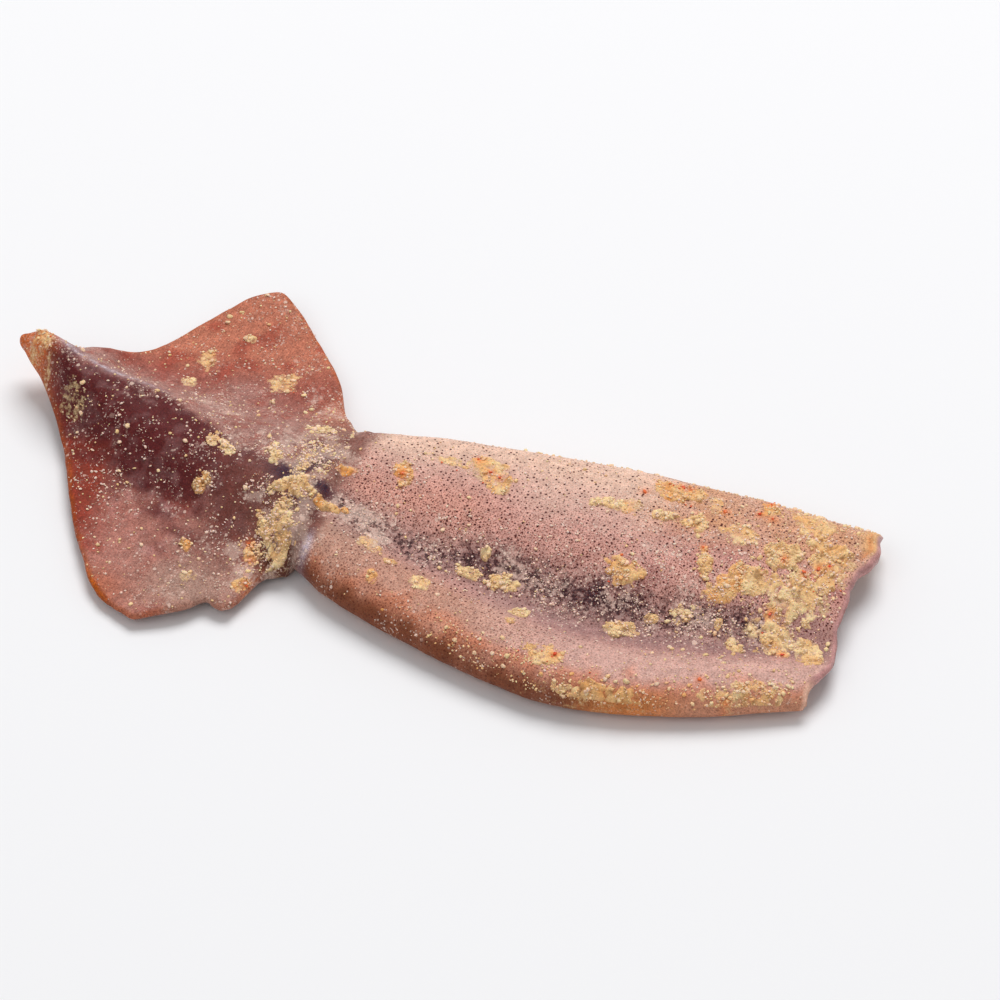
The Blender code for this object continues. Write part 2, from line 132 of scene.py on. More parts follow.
# Bran on the skin: middle X and Y, length, width, turn in degrees, thickness, how smooth, orange
BRAN_PATCHES = {
    "arc_left": (210.5, -3, 12, 7, 62, 1, 0.8, 0.5),
    "arc_crumbs": (212, 2, 5, 8, 26, 1.3, 0.4, 0.7),
    "arc": (218, 3, 15, 8, 8, 1.2, 0.95, 0.1),
    "arc_end": (227.5, 2.4, 10, 11, -10, 1.1, 0.95, 0.05),
    "low_crust": (233.5, 5, 8, 12, 26, 0.7, 0.8, 0.1),
    "mouth_crust": (234.5, 17, 11, 16, 26, 1.4, 0.9, 0.3),
    "mouth_crust_top": (229, 22.5, 8, 6, 0, 1.3, 0.6, 0.1),
    "mouth_clump": (218.8, 12.4, 6, 11, 26, 1.8, 0.5, 0.2),
    "mouth_clump_small": (223.5, 14, 5, 10, 20, 1.8, 0.5, 0),
    "mouth_link": (227, 9, 7, 6, -50, 1.4, 0.6, 0.1),
    "mouth_smear": (222, 29, 14, 10, 0, 0.6, 1, 0.35),
    "middle_paste": (228.5, -9.9, 10, 12, 0, 1, 0.95, 0.2),
    "middle_bridge": (225.5, -4.6, 5, 8, 26, 0.5, 0.9, 0.4),
    "middle_left": (222, -10, 6, 6, 0, 0.3, 0.8, 0.1),
    "mouth_paste": (237.4, -10.2, 7, 10, 26, 1.1, 0.95, 0.2),
    "stripe_paste": (219, -16, 8, 4, -30, 0.9, 0.6, 0),
    "stripe_dot": (213.7, -14, 3, 5, 26, 0.7, 0.6, 0.2),
    "cream_clump": (190, -24.5, 10, 5, 20, 1.3, 0.7, 0),
    "cream_dot": (196, -18.4, 4, 3, 26, 1, 0.5, 0),
    "white_crumbs": (203, -13.6, 6, 5, 40, 0.3, 0.3, 0),
    "crumbly": (184.4, -9.9, 12, 8, 10, 0.9, 0.4, 0.5),
    "narrow": (202.6, 1.6, 4, 10, 20, 0.9, 0.5, 0.3),
    "orange": (186, 22, 12, 8, 5, 1.1, 0.7, 0.7),
    "chain": (187, 11.4, 12, 4, 10, 0.9, 0.5, 0.2),
    "chain_end": (195.4, 13, 6, 6, 26, 1.2, 0.4, 0.2),
    "chilli_smear": (197, 21.4, 4, 9, 26, 0.4, 0.9, 0.3),
    "thin_smear": (206.3, 14.9, 11, 7, 5, 0.4, 1, 0.25),
    "orange_edge": (210, 28, 6, 6, 26, 1, 0.7, 0.8),
    "far_cream": (170.6, 8.3, 8, 4, 20, 0.8, 0.7, 0.1),
    "far_film": (176, 10, 9, 6, 10, 0.3, 1, 0.5),
    "fold_smear": (229, -33, 22, 7, 34, 0.5, 0.65, 0.25),
    "fold_orange": (197, -48.5, 24, 6, 10, 0.6, 0.4, 0.5),
    "fold_dot": (177, -45, 9, 7, 5, 0.7, 0.85, 0.3),
    "back_smear": (136.5, 6, 10, 9, 10, 0.5, 0.85, 0.3),
    "back_smear_front": (142.5, 3, 7, 8, 30, 0.5, 0.85, 0.45),
    "back_smear_rear": (125, 4.6, 9, 3, 5, 0.5, 0.8, 0.2),
    "back_orange": (117, -5, 5, 7, 26, 0.9, 0.5, 0.6),
    "near_bit": (124.7, -40, 3, 4, 26, 0.8, 0.7, 0.6),
    "near_dot": (127, -32.7, 4, 3, 10, 0.8, 0.6, 0.3),
    "left_cream": (119, -29.6, 8, 5, -10, 0.45, 0.9, 0),
    "near_cream": (137, -36, 6, 5, 0, 0.5, 0.9, 0),
    "stripe_cream": (155, -24, 10, 5, 10, 0.8, 0.4, 0),
    "stripe_cream_rear": (146.6, -25, 8, 3, 5, 0.6, 0.4, 0),
    "stripe_cream_dot": (148.4, -18.6, 3, 4, 26, 0.8, 0.6, 0),
    "near_cream_front": (165, -31, 6, 4, 20, 0.7, 0.7, 0.1),
    "near_speck": (163.7, -36.4, 4, 3, 10, 0.5, 0.7, 0.5),
    "tail_tip": (6, -3, 8, 8, -35, 0.35, 0.8, 0.4),
    "tip_yellow": (10.5, -8, 3, 6, 10, 0.4, 0.9, 0.3),
    "tail_cream": (21.5, -14.6, 14, 6, -28, 0.02, 0.7, 0),
    "curled_clump": (68.5, -28.6, 4, 6, 50, 1.4, 0.4, 0.5),
    "crest_crumbs": (66, -15.6, 5, 6, 26, 0.8, 0.3, 0),
    "crest_crumbs_low": (70, -18, 5, 5, 26, 0.7, 0.3, 0),
    "crest_crumbs_front": (82.4, -12.8, 5, 9, 26, 1, 0.4, 0),
    "junction_crumbs": (92.4, -23, 11, 6, 10, 1.8, 0.5, 0),
    "junction_stick": (103.3, -23.3, 10, 3, 10, 1.4, 0.5, 0.7),
    "fin_smear": (102.4, -10.3, 7, 3, 24, 0.5, 0.9, 0.9),
    "chilli_clump": (90, -42, 5, 6, 26, 1.3, 0.6, 0.3),
    "junction_crust": (93, -33, 10, 10, 26, 0.7, 0.3, 0),
    "junction_crust_low": (97, -38.6, 7, 6, 26, 1, 0.5, 0.1),
    "small_pile": (98, -43, 5, 4, 20, 1.2, 0.6, 0),
    "near_fin_dot": (71.6, -45, 3.4, 3, 0, 1.1, 0.6, 0.6),
    "near_fin_smear": (77, -54, 5, 5, 0, 0.25, 0.9, 0.2),
    "far_fin_patch": (43.7, 22, 6, 8, 26, 0.25, 0.9, 0.4),
    "far_fin_dot": (51, 34, 3, 3, 0, 1.1, 0.7, 0.1),
    "far_fin_front": (67, 23, 8, 9, 26, 0.25, 0.9, 0.3),
    "far_fin_root": (44, 11, 5, 5, 26, 0.25, 0.9, 0.1),
    "near_fin_front": (92, -52, 6, 6, 60, 0.6, 0.7, 0.5),
    "far_junction": (88, 4, 7, 6, 0, 0.8, 0.5, 0),
}
PASTE_STEP = 0.25           # the paste mesh's cells
PASTE_SHARE = 0.75          # how much of a patch's thickness is paste, the rest is grains on it
GRAIN = 1.7                 # the lumps of bran pressed together in the paste
STEEPEST = 1.3              # paste doesn't stay on skin steeper than this
PASTE_MARGIN = 0.25         # how far the paste stays inside the outline
PASTE_THINNEST = -0.05      # cells where it is thinner than this are left out
PASTE_SUNK = -0.2           # its edge goes this far into the skin

# Loose bran: how many bits, how far inside the outline, least radius, how much larger at most, how
# rare the larger ones are, lift over the skin, creaminess, subdivisions, flatness and random seed
BITS = {
    "bran_crumbs": (1900, 0.6, 0.28, 0.5, 3, 0.15, 0.9, 2, 0.6, 91),
    "bran_grains": (4800, 0.3, 0.13, 0.24, 2, 0.2, 1, 1, 0.7, 93),
    "bran_dust": (6000, 0.15, 0.08, 0.42, 4, 0.2, 1, 1, 0.6, 95),
}

# Chilli flecks that stand out: X, Y
CHILLI_PLACES = (
    (117, -5.6), (138, 5.3), (141, 4.4), (178, 17), (188, 24.5), (200, 20.5), (209, 32.7),
    (209.4, 30), (200.3, 5.6), (232.6, 14.6), (228.4, 11), (224.4, -4.3), (231.7, -14),
    (217.6, -34), (226, -36.3), (180, -43.4), (90.5, -43.9), (93, -51), (186, 24.3), (208.4, 24.4),
    (212.2, 24.4), (88, -39.5), (236, 16), (221, 12), (133, 8),
)
SMALL_CHILLI = 26

# Where the photo is taken from: turn from straight across the body, height, distance, width seen
VIEW_AZIMUTH = math.radians(25.7)
VIEW_ELEVATION = math.radians(45)
VIEW_DISTANCE = 1.9
VIEW_WIDTH = 0.27
VIEW_TARGET = (137.4, 12.2)

STUDIO_LIGHT = 1.05         # how bright a white surface looks in the studio's light
SHEEN = 0.008               # the light that moist skin adds by its gloss

# The lamps: turn from the viewer, height in degrees, distance, size and power
KEY_LIGHT = (165, 58, 3.4, 2.2, 84)
FILL_LIGHT = (-40, 50, 3.4, 2.4, 14)
SURROUNDINGS = 0.42
FLOOR_COLOUR = (0.87, 0.87, 0.885, 1)
FLOOR_REACH = 3
FLOOR_LEVEL = -0.0002

FIN_RAY_TURN = math.radians(-14)
FIN_RAY_STRETCH = 0.16      # the fins' fine rays are this much narrower than they are long


def seen(red, green, blue):
    """A colour as it looks in the studio, 0 to 255, turned into the surface's own colour."""
    values = np.array([red, green, blue], dtype=float) / 255
    light = np.where(values <= 0.04045, values / 12.92, ((values + 0.055) / 1.055) ** 2.4)
    return np.clip(light / STUDIO_LIGHT - SHEEN, 0.002, 0.95)


# Skin colours
# Partly the far side's own paleness, partly painted light where it faces the lamp above and behind
PALE = seen(234, 195, 174)
PALE_ROSY = seen(222, 180, 165)
PALE_WARM = seen(216, 158, 118)
PINK = seen(212, 161, 149)
ROSE = seen(216, 161, 148)
ROSE_DEEP = seen(218, 158, 141)
# Lavender: painted sheen on the slope below the stripe, and by the mouth the bare skin's own mauve
# with painted sheen
LAVENDER = seen(170, 130, 126)
PURPLE = seen(180, 118, 114)
NEAR_SKIN = seen(204, 154, 134)
NEAR_SKIN_FRONT = seen(216, 172, 160)
# The near flank's orange brown, partly painted shade where it faces away from the lamp
FLANK = seen(216, 134, 100)
# Painted shadow along the near edge where it meets the ground
LOW_EDGE = seen(98, 50, 26)
# Orange brown at the near edge's front part, partly painted warm light bounced up from below
LOW_EDGE_FRONT = seen(210, 130, 66)
STRIPE = seen(168, 128, 122)
STRIPE_CORE = seen(76, 54, 62)
DOT = seen(78, 20, 10)
DOT_DARK_RED = seen(98, 34, 24)
DOT_RED = seen(134, 66, 52)
FAR_FIN_SKIN = seen(196, 122, 98)
FAR_FIN_ROOT = seen(160, 90, 78)
FIN_RED = seen(144, 62, 48)
FIN_BROWN = seen(182, 122, 110)
# Greyish skin by the shoulder, and painted sheen on the near fin
FIN_GREY = seen(174, 140, 126)
FIN_EDGE = seen(184, 92, 34)
FIN_BLOTCH = seen(160, 66, 52)
# The ridge's maroon, partly painted shade on its near side that faces away from the lamp
RIDGE = seen(94, 42, 44)
RIDGE_FRONT = seen(118, 70, 64)
# Painted sheen where the ridge's far side and a patch of the far fin face the lamp
RIDGE_FAR = seen(174, 134, 125)
RIDGE_SHEEN = seen(160, 136, 142)
RIDGE_GLINT = seen(204, 192, 200)
FIN_SMEAR = seen(196, 148, 144)
JUNCTION = seen(136, 92, 78)
JUNCTION_DARK = seen(70, 50, 64)
TIP = seen(232, 122, 62)
# Painted highlight on the shoulder's moist bulge
SHOULDER = seen(222, 208, 220)
# Painted shade in the hollow and in the narrow gap where the near fin lobe lies over the body
HOLLOW = seen(84, 46, 30)
MOUTH_FLESH = seen(198, 146, 142)
MOUTH_CORNER = seen(236, 186, 162)
UNDER_FLESH = seen(214, 180, 166)
GROOVE = seen(212, 138, 88)
FLAP = seen(232, 182, 128)
DARK_FLECK = seen(58, 34, 40)
# Pale flecks in the stripe: partly bran dust, partly painted sheen
FLAKE = seen(204, 174, 166)

# Bran colours
BRAN = seen(240, 196, 140)
BRAN_CREAM = seen(252, 228, 180)
BRAN_ORANGE = seen(242, 164, 88)
BRAN_SHADE = seen(134, 80, 40)
BRAN_ROSY = seen(252, 216, 194)
CHILLI = seen(222, 60, 28)
CHILLI_LIGHT = seen(242, 128, 60)
DUST = seen(248, 216, 200)

# Pigment dots: distance apart, smallest and largest radius, strength, colour, where they are
DOT_KINDS = (
    (0.66, 0.08, 0.22, 0.85, DOT_RED, "freckles"),
    (0.98, 0.1, 0.24, 0.9, DOT_DARK_RED, "freckles"),
    (1.45, 0.05, 0.35, 0.95, DOT, "dots"),
)
# Painted specks of bran dust: distance apart, largest radius, how many
SPECK_KINDS = ((0.5, 0.36, 1.3), (1, 0.6, 0.7), (2, 1, 0.25))
DOT_SOFTNESS = 0.05         # how blurred a dot's edge is


def smoothstep(t):
    t = np.clip(t, 0, 1)
    return t * t * (3 - 2 * t)


def rise(value, start, length):
    """0 up to the start, then smoothly up to 1 over the length."""
    return smoothstep((value - start) / length)


def fall(value, end, length):
    """1 at first, then smoothly down to 0 at the end over the length before it."""
    return smoothstep((end - value) / length)


def bell(value, middle, reach):
    """1 at the middle, fading out to both sides of it."""
    return np.exp(-np.square((value - middle) / reach))


def area(name, x, y):
    """1 at the middle of a named area of the skin, fading out all round it."""
    middle_x, middle_y, reach_x, reach_y = AREAS[name]
    return bell(x, middle_x, reach_x) * bell(y, middle_y, reach_y)


def smooth_max(a, b, reach):
    """The larger of two heights, blended where they are closer than the reach."""
    mix = np.clip(0.5 + 0.5 * (a - b) / reach, 0, 1)
    return b + (a - b) * mix + reach * mix * (1 - mix)


def lumps(x, y, size, seed):
    """Smooth random hills about the given size apart, from -1 to 1."""
    table = np.random.default_rng(seed).uniform(-1, 1, (128, 128))
    u, v = np.asarray(x) / size, np.asarray(y) / size
    i, j = np.floor(u).astype(int), np.floor(v).astype(int)
    across_u, across_v = smoothstep(u - i), smoothstep(v - j)
    low = table[i % 128, j % 128] * (1 - across_u) + table[(i + 1) % 128, j % 128] * across_u
    high = (table[i % 128, (j + 1) % 128] * (1 - across_u)
            + table[(i + 1) % 128, (j + 1) % 128] * across_u)
    return low * (1 - across_v) + high * across_v


def grains(x, y, size, seed):
    """Packed round grains of the given size: 1 on a grain's top, 0 in the gaps."""
    rng = np.random.default_rng(seed)
    shift_u, shift_v = rng.random((2, 128, 128))
    u, v = np.asarray(x) / size, np.asarray(y) / size
    i, j = np.floor(u).astype(int), np.floor(v).astype(int)
    nearest = np.full(u.shape, 9.0)
    for di in (-1, 0, 1):
        for dj in (-1, 0, 1):
            a, b = (i + di) % 128, (j + dj) % 128
            away = np.hypot(i + di + shift_u[a, b] - u, j + dj + shift_v[a, b] - v)
            nearest = np.minimum(nearest, away)
    return np.sqrt(np.clip(1 - np.square(nearest / 0.72), 0, 1))


def through(points, at):
    """A smooth curve through the points that never overshoots between two of them."""
    xs, ys = np.array(points, dtype=float).T
    at = np.clip(np.asarray(at, dtype=float), xs[0], xs[-1])
    steps = np.diff(xs)
    rises = np.diff(ys) / steps
    slopes = np.concatenate(([rises[0]], np.zeros(len(xs) - 2), [rises[-1]]))
    both = rises[:-1] * rises[1:]
    turning = both > 0
    slopes[1:-1][turning] = (2 * both / np.where(turning, rises[:-1] + rises[1:], 1))[turning]
    i = np.clip(np.searchsorted(xs, at) - 1, 0, len(steps) - 1)
    t = (at - xs[i]) / steps[i]
    share = t * t * (3 - 2 * t)
    lean_in = t * (1 - t) ** 2 * steps[i]
    lean_out = t * t * (1 - t) * steps[i]
    return ys[i] + (ys[i + 1] - ys[i]) * share + slopes[i] * lean_in - slopes[i + 1] * lean_out


def outline(x):
    """The near and the far edge of the whole squid at X, with the small nicks of real skin."""
    fins = x < FIN_FRONT_X
    near = np.where(fins, np.minimum(through(MANTLE_NEAR, x), through(NEAR_FIN, x)),
                    through(MANTLE_NEAR, x))
    far = np.where(fins, np.maximum(through(MANTLE_FAR, x), through(FAR_FIN, x)),
                   through(MANTLE_FAR, x))
    ragged = rise(x, 6, 10) * (0.25 + 0.75 * fall(x, FIN_FRONT_X, 8))
    near = near + ragged * (0.45 * lumps(x, 0, 4.1, 21) + 0.25 * lumps(x, 9, 1.7, 22))
    far = far + ragged * (0.45 * lumps(x, 40, 4.6, 23) + 0.2 * lumps(x, 60, 1.9, 24))
    return near, far


def across(x, y):
    """Where Y lies across the mantle: -1 on the near fold, 1 on the far fold."""
    near, far = through(MANTLE_NEAR, x), through(MANTLE_FAR, x)
    return (2 * y - near - far) / (far - near)


def from_crest(x, y):
    """The distance from the tail's crest, 1 at the body's side under the fins."""
    crest = through(CREST_Y, x)
    side = np.where(y < crest, crest - through(MANTLE_NEAR, x), through(MANTLE_FAR, x) - crest)
    return np.abs(y - crest) / (0.95 * side + 1)


def mantle_back(x, y):
    """The body's back: two humps with a sunken valley between them."""
    v = across(x, y)
    far, near = through(FAR_HUMP, x), through(NEAR_HUMP, x)
    blend = rise(v, NEAR_HUMP_AT, FAR_HUMP_AT - NEAR_HUMP_AT)
    ridge = near + (far - near) * blend
    width = np.where(v < VALLEY_AT, VALLEY_AT - NEAR_HUMP_AT, 0.45)
    valley = through(VALLEY_DEPTH, x) * bell(v, VALLEY_AT, width / 1.5)
    return ridge - valley - 0.32 * ridge * rise(np.abs(v), 0.55, 0.75)


def fin_sheet(x, y):
    """The fins' back with the tail's ridge running through them."""
    crest = through(CREST_Y, x)
    level = FIN_LEVEL + 5 * np.square(np.clip(1 - x / 40, 0, 1))
    curl = FIN_CURL_HEIGHT * area("fin_curl", x, y) * rise(y, crest, 12)
    corner = FAR_CORNER_HEIGHT * area("far_fin_corner", x, y)
    wave = 0.7 * np.sin(0.21 * x + 0.9) * np.sin(0.13 * y + 0.4)
    level = level + curl + corner + wave * smoothstep(from_crest(x, y) - 0.8)
    return level + (through(CREST, x) - level) / (1 + from_crest(x, y) ** 3.4)


def far_groove(x, y):
    """Where the groove runs in the far corner of the mouth, 1 on its middle line."""
    middle = MOUTH_X - 2.7 + 0.5 * lumps(y, 1, 2.6, 37)
    return bell(x, middle, 0.8) * rise(y, 22, 3) * fall(y, 37, 3)


def relief(x, y):
    """Small folds of the skin: lumps where fins and body meet, soft dents, a wavy mouth edge."""
    fin = fall(x, FIN_FRONT_X, 8) * rise(from_crest(x, y), 0.4, 1)
    rays = 0.1 * lumps(x, y, 2.2, 31) + 0.12 * lumps(x / 2.4, y / 9, 1, 32)
    dents = 0.3 * lumps(x, y, 11, 33) + 0.14 * lumps(x, y, 4, 34)
    rough = 0.7 * lumps(x, y, 5, 35) + 0.35 * lumps(x, y, 2.3, 36)
    wavy = 0.35 * lumps(x / 3, y, 2.8, 38) * rise(x, MOUTH_X - 7, 6)
    return dents + fin * rays + bell(x, 93, 7) * rough + wavy - far_groove(x, y)


def back(x, y):
    """The upper surface, before its edges are rounded."""
    blend = rise(x, FIN_FRONT_X - 7, 11)
    front = FIN_FRONT_X + 0.6 + 2 * lumps(y, 5, 9, 41)
    step = FIN_STEP * rise(x, FIN_FRONT_X - 14, 12) * fall(x, front + 1.2, 1.2)
    hollow = NEAR_HOLLOW_DEPTH * area("near_hollow", x, y)
    sheet = (1 - blend) * fin_sheet(x, y) + blend * mantle_back(x, y)
    return sheet + step - hollow + relief(x, y)


def underside(x, y):
    """The lower surface: the body lies on the ground, the fins and the curled tail tip do not."""
    lift = TAIL_LIFT * np.square(np.clip(1 - x / TAIL_LIFT_LENGTH, 0, 1))
    top = back(x, y)
    root = FIN_ROOT_THICKNESS / (1 + from_crest(x, y) ** 4)
    fin = smooth_max(top - FIN_THICKNESS - root, lift, 2)
    return np.where(x < FIN_FRONT_X, fin * fall(x, FIN_FRONT_X, 9), 0)


def edge_distance(x, y):
    """The distance to the outline, square to it, and the edge's own Y."""
    near, far = outline(x)
    near_b, far_b = outline(x + 0.5)
    near_d = (y - near) / np.hypot(1, (near_b - near) / 0.5)
    far_d = (far - y) / np.hypot(1, (far_b - far) / 0.5)
    return np.where(near_d < far_d, near_d, far_d), np.where(near_d < far_d, near, far)


def surfaces(x, y):
    """The heights of the back and of the underside, with the outline's edge rounded."""
    distance, edge = edge_distance(x, y)
    edge_top, edge_bottom = back(x, edge), underside(x, edge)
    middle = 0.5 * (edge_top + edge_bottom)
    radius = np.clip(0.75 * (edge_top - edge_bottom), 1.2, FOLD_RADIUS)
    inward = 1 - np.clip(distance / radius, 0, 1)
    grow = np.sqrt(np.clip(1 - inward * inward, 0, 1))
    return middle + (back(x, y) - middle) * grow, middle + (underside(x, y) - middle) * grow


def mouth_shift(x, y):
    """How far the ragged mouth edge lies from the straight one, faded out along the body."""
    ragged = through(MOUTH_EDGE, y) - MOUTH_X + 0.5 * lumps(y, 3, 3.3, 51)
    return ragged * rise(x, MOUTH_X - MOUTH_REACH, MOUTH_REACH)


def tail_round(x):
    """How much of its full size the tail has at X: it closes in a rounded end."""
    inward = 1 - np.clip((x - TAIL_END_X) / TAIL_END_LENGTH, 0, 1)
    return math.sqrt(max(1 - inward * inward, 0))


def columns(x, count, inset=0):
    """Points across the body at X, somewhat closer together at its edges."""
    near, far = outline(np.array([x]))
    share = np.linspace(0, 1, count)
    place = 0.55 * -np.cos(share * math.pi) + 0.45 * (2 * share - 1)
    y = 0.5 * (near + far) + (0.5 * (far - near) - inset) * place
    return np.full(y.shape, x), y, share * math.pi


def set_back(x, turn):
    """How far the underside ends short of the back near the mouth, nothing at the side folds."""
    reach = rise(x, MOUTH_X - MOUTH_REACH, MOUTH_REACH)
    return LIP_OVERHANG * reach * np.sqrt(np.clip(np.sin(turn) / 0.35, 0, 1))


def skin_ring(x, shave=0):
    """The skin round the body at X, or a row shaved in from it: over the back, then under."""
    halves = []
    for count, sign in ((OVER_COUNT, 1), (UNDER_COUNT, -1)):
        rows, y, turn = columns(x, count, shave)
        top, bottom = surfaces(rows, y)
        cut = np.minimum(shave, 0.4 * np.maximum(top - bottom, 0))
        ends = rows + mouth_shift(rows, y) - (sign < 0) * set_back(x, turn) + shave
        halves.append(np.stack([ends, y, (top if sign > 0 else bottom) - sign * cut], axis=1))
    points = np.concatenate([halves[0], halves[1][-2:0:-1]])
    middle = points.mean(axis=0)
    return middle + (points - middle) * tail_round(x)


def slit_ring(x, gap):
    """The inner walls of the flattened mouth at X, the gap apart at its middle."""
    halves = []
    for count, sign in ((OVER_COUNT, 1), (UNDER_COUNT, -1)):
        rows, y, turn = columns(x, count, SLIT_INSET)
        top, _ = surfaces(rows, y)
        half = sign * 0.5 * gap * np.sqrt(np.clip(np.sin(turn), 0.04, 1))
        ends = rows + mouth_shift(rows, y) - (sign < 0) * set_back(x, turn)
        halves.append(np.stack([ends, y, SLIT_LEVEL * top + half], axis=1))
    return np.concatenate([halves[0], halves[1][-2:0:-1]])


def add_object(name, data):
    """An object of that name in the scene."""
    new = bpy.data.objects.new(name, data)
    bpy.context.scene.collection.objects.link(new)
    return new


def new_piece(name, points, faces, material, tones, layers=None):
    """A smooth mesh from points in millimetres, with colours and values kept on its points."""
    mesh = bpy.data.meshes.new(name)
    placed = (points - np.array([ORIGIN_X, ORIGIN_Y, 0])) * MM
    mesh.from_pydata(placed.tolist(), [], faces)
    tone = mesh.attributes.new("tone", "FLOAT_COLOR", "POINT")
    tone.data.foreach_set("color", np.column_stack([tones, np.ones(len(tones))]).ravel())
    for key, values in (layers or {}).items():
        mesh.attributes.new(key, "FLOAT", "POINT").data.foreach_set("value", values)
    mesh.materials.append(material)
    mesh.shade_smooth()
    piece = add_object(name, mesh)
    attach(piece, "root")
    return piece


def mixed(tone, colour, share):
    """The tone moved towards a colour by a share that may differ at each point."""
    return tone + (colour - tone) * np.clip(share, 0, 1)[:, None]


def painted(tone, *layers):
    """The tone under layers of colour, one after the other, each with its share."""
    for colour, share in layers:
        tone = mixed(tone, colour, share)
    return tone


def mantle_tone(x, y):
    """The body's skin: pale on the far side, partly painted light, rosy in the middle, a dark
    stripe with painted sheen below it, a brown flank partly in painted shade, painted shadow at
    its edge.
    """
    v = across(x, y)
    broad, fine = lumps(x, y, 13, 61), lumps(x, y, 4, 62)
    rose = mixed(ROSE_DEEP, ROSE, rise(x, 136, 14))
    blotch = rise(lumps(x, y, 9, 56) + 0.6 * fine, 0.05, 0.5)
    warm = rise(x, 172, 22) * rise(v, 0.25, 0.3)
    # The near edge: painted shadow at the back, painted bounced light further forward, then plain
    # near skin
    low = mixed(LOW_EDGE, LOW_EDGE_FRONT, rise(x, 184, 16))
    low = mixed(low, NEAR_SKIN, 0.7 * rise(x, 205, 15))
    centre = through(STRIPE_AT, x) + 0.03 * fine
    stripe = bell(v, centre, 0.14 + 0.04 * broad) * rise(x, 98, 12)
    core = np.maximum(0.75 * bell(x, 148, 11), bell(x, 179, 15))
    core = np.maximum(core, 0.5 * bell(x, 212, 12))
    return painted(PINK,
        # Paler towards the far side: partly the skin's own colour, partly painted light
        (PALE_ROSY, rise(v + 0.15 * broad, 0.12, 0.45)),
        (PALE, rise(v + 0.1 * broad, 0.42, 0.3) * fall(x, 215, 40)),
        (rose, 0.8 * bell(v + 0.1 * broad, 0.07, 0.22)),
        (ROSE, 0.5 * bell(x, 213, 14) * bell(v, 0.35, 0.4)),
        (PURPLE, 0.5 * blotch * bell(v, 0.2, 0.4) * rise(x, 160, 25)),
        (PALE_WARM, 0.62 * warm * (1 + 0.5 * fine)),
        (mixed(NEAR_SKIN, NEAR_SKIN_FRONT, rise(x, 145, 40)), rise(-v, 0.42, 0.16)),
        # Painted sheen, lavender, on the valley's near slope
        (LAVENDER, bell(v, -0.4, 0.13) * rise(x, 135, 25)),
        (PALE_ROSY, 0.4 * area("near_side_pale", x, y)),
        # The near flank, partly in painted shade
        (FLANK, 0.8 * rise(0.1 * fine - v, 0.72, 0.26)),
        # Painted shadow and bounced light along the lower edge
        (low, 0.8 * rise(0.03 * fine - v, 0.87, 0.13)),
        (STRIPE, 0.9 * stripe * (1 - 0.5 * rise(x, 222, 10))),
        (STRIPE_CORE, core * bell(v, centre, 0.1) * (0.75 + 0.45 * fine)),
        (PALE, 0.6 * bell(x, 112, 11) * rise(v, 0.25, 0.4)),
        (FIN_GREY, 0.6 * area("shoulder_grey", x, y)),
        # Bare mauve skin by the mouth, with painted sheen
        (LAVENDER, 0.7 * area("mouth_lavender", x, y)))


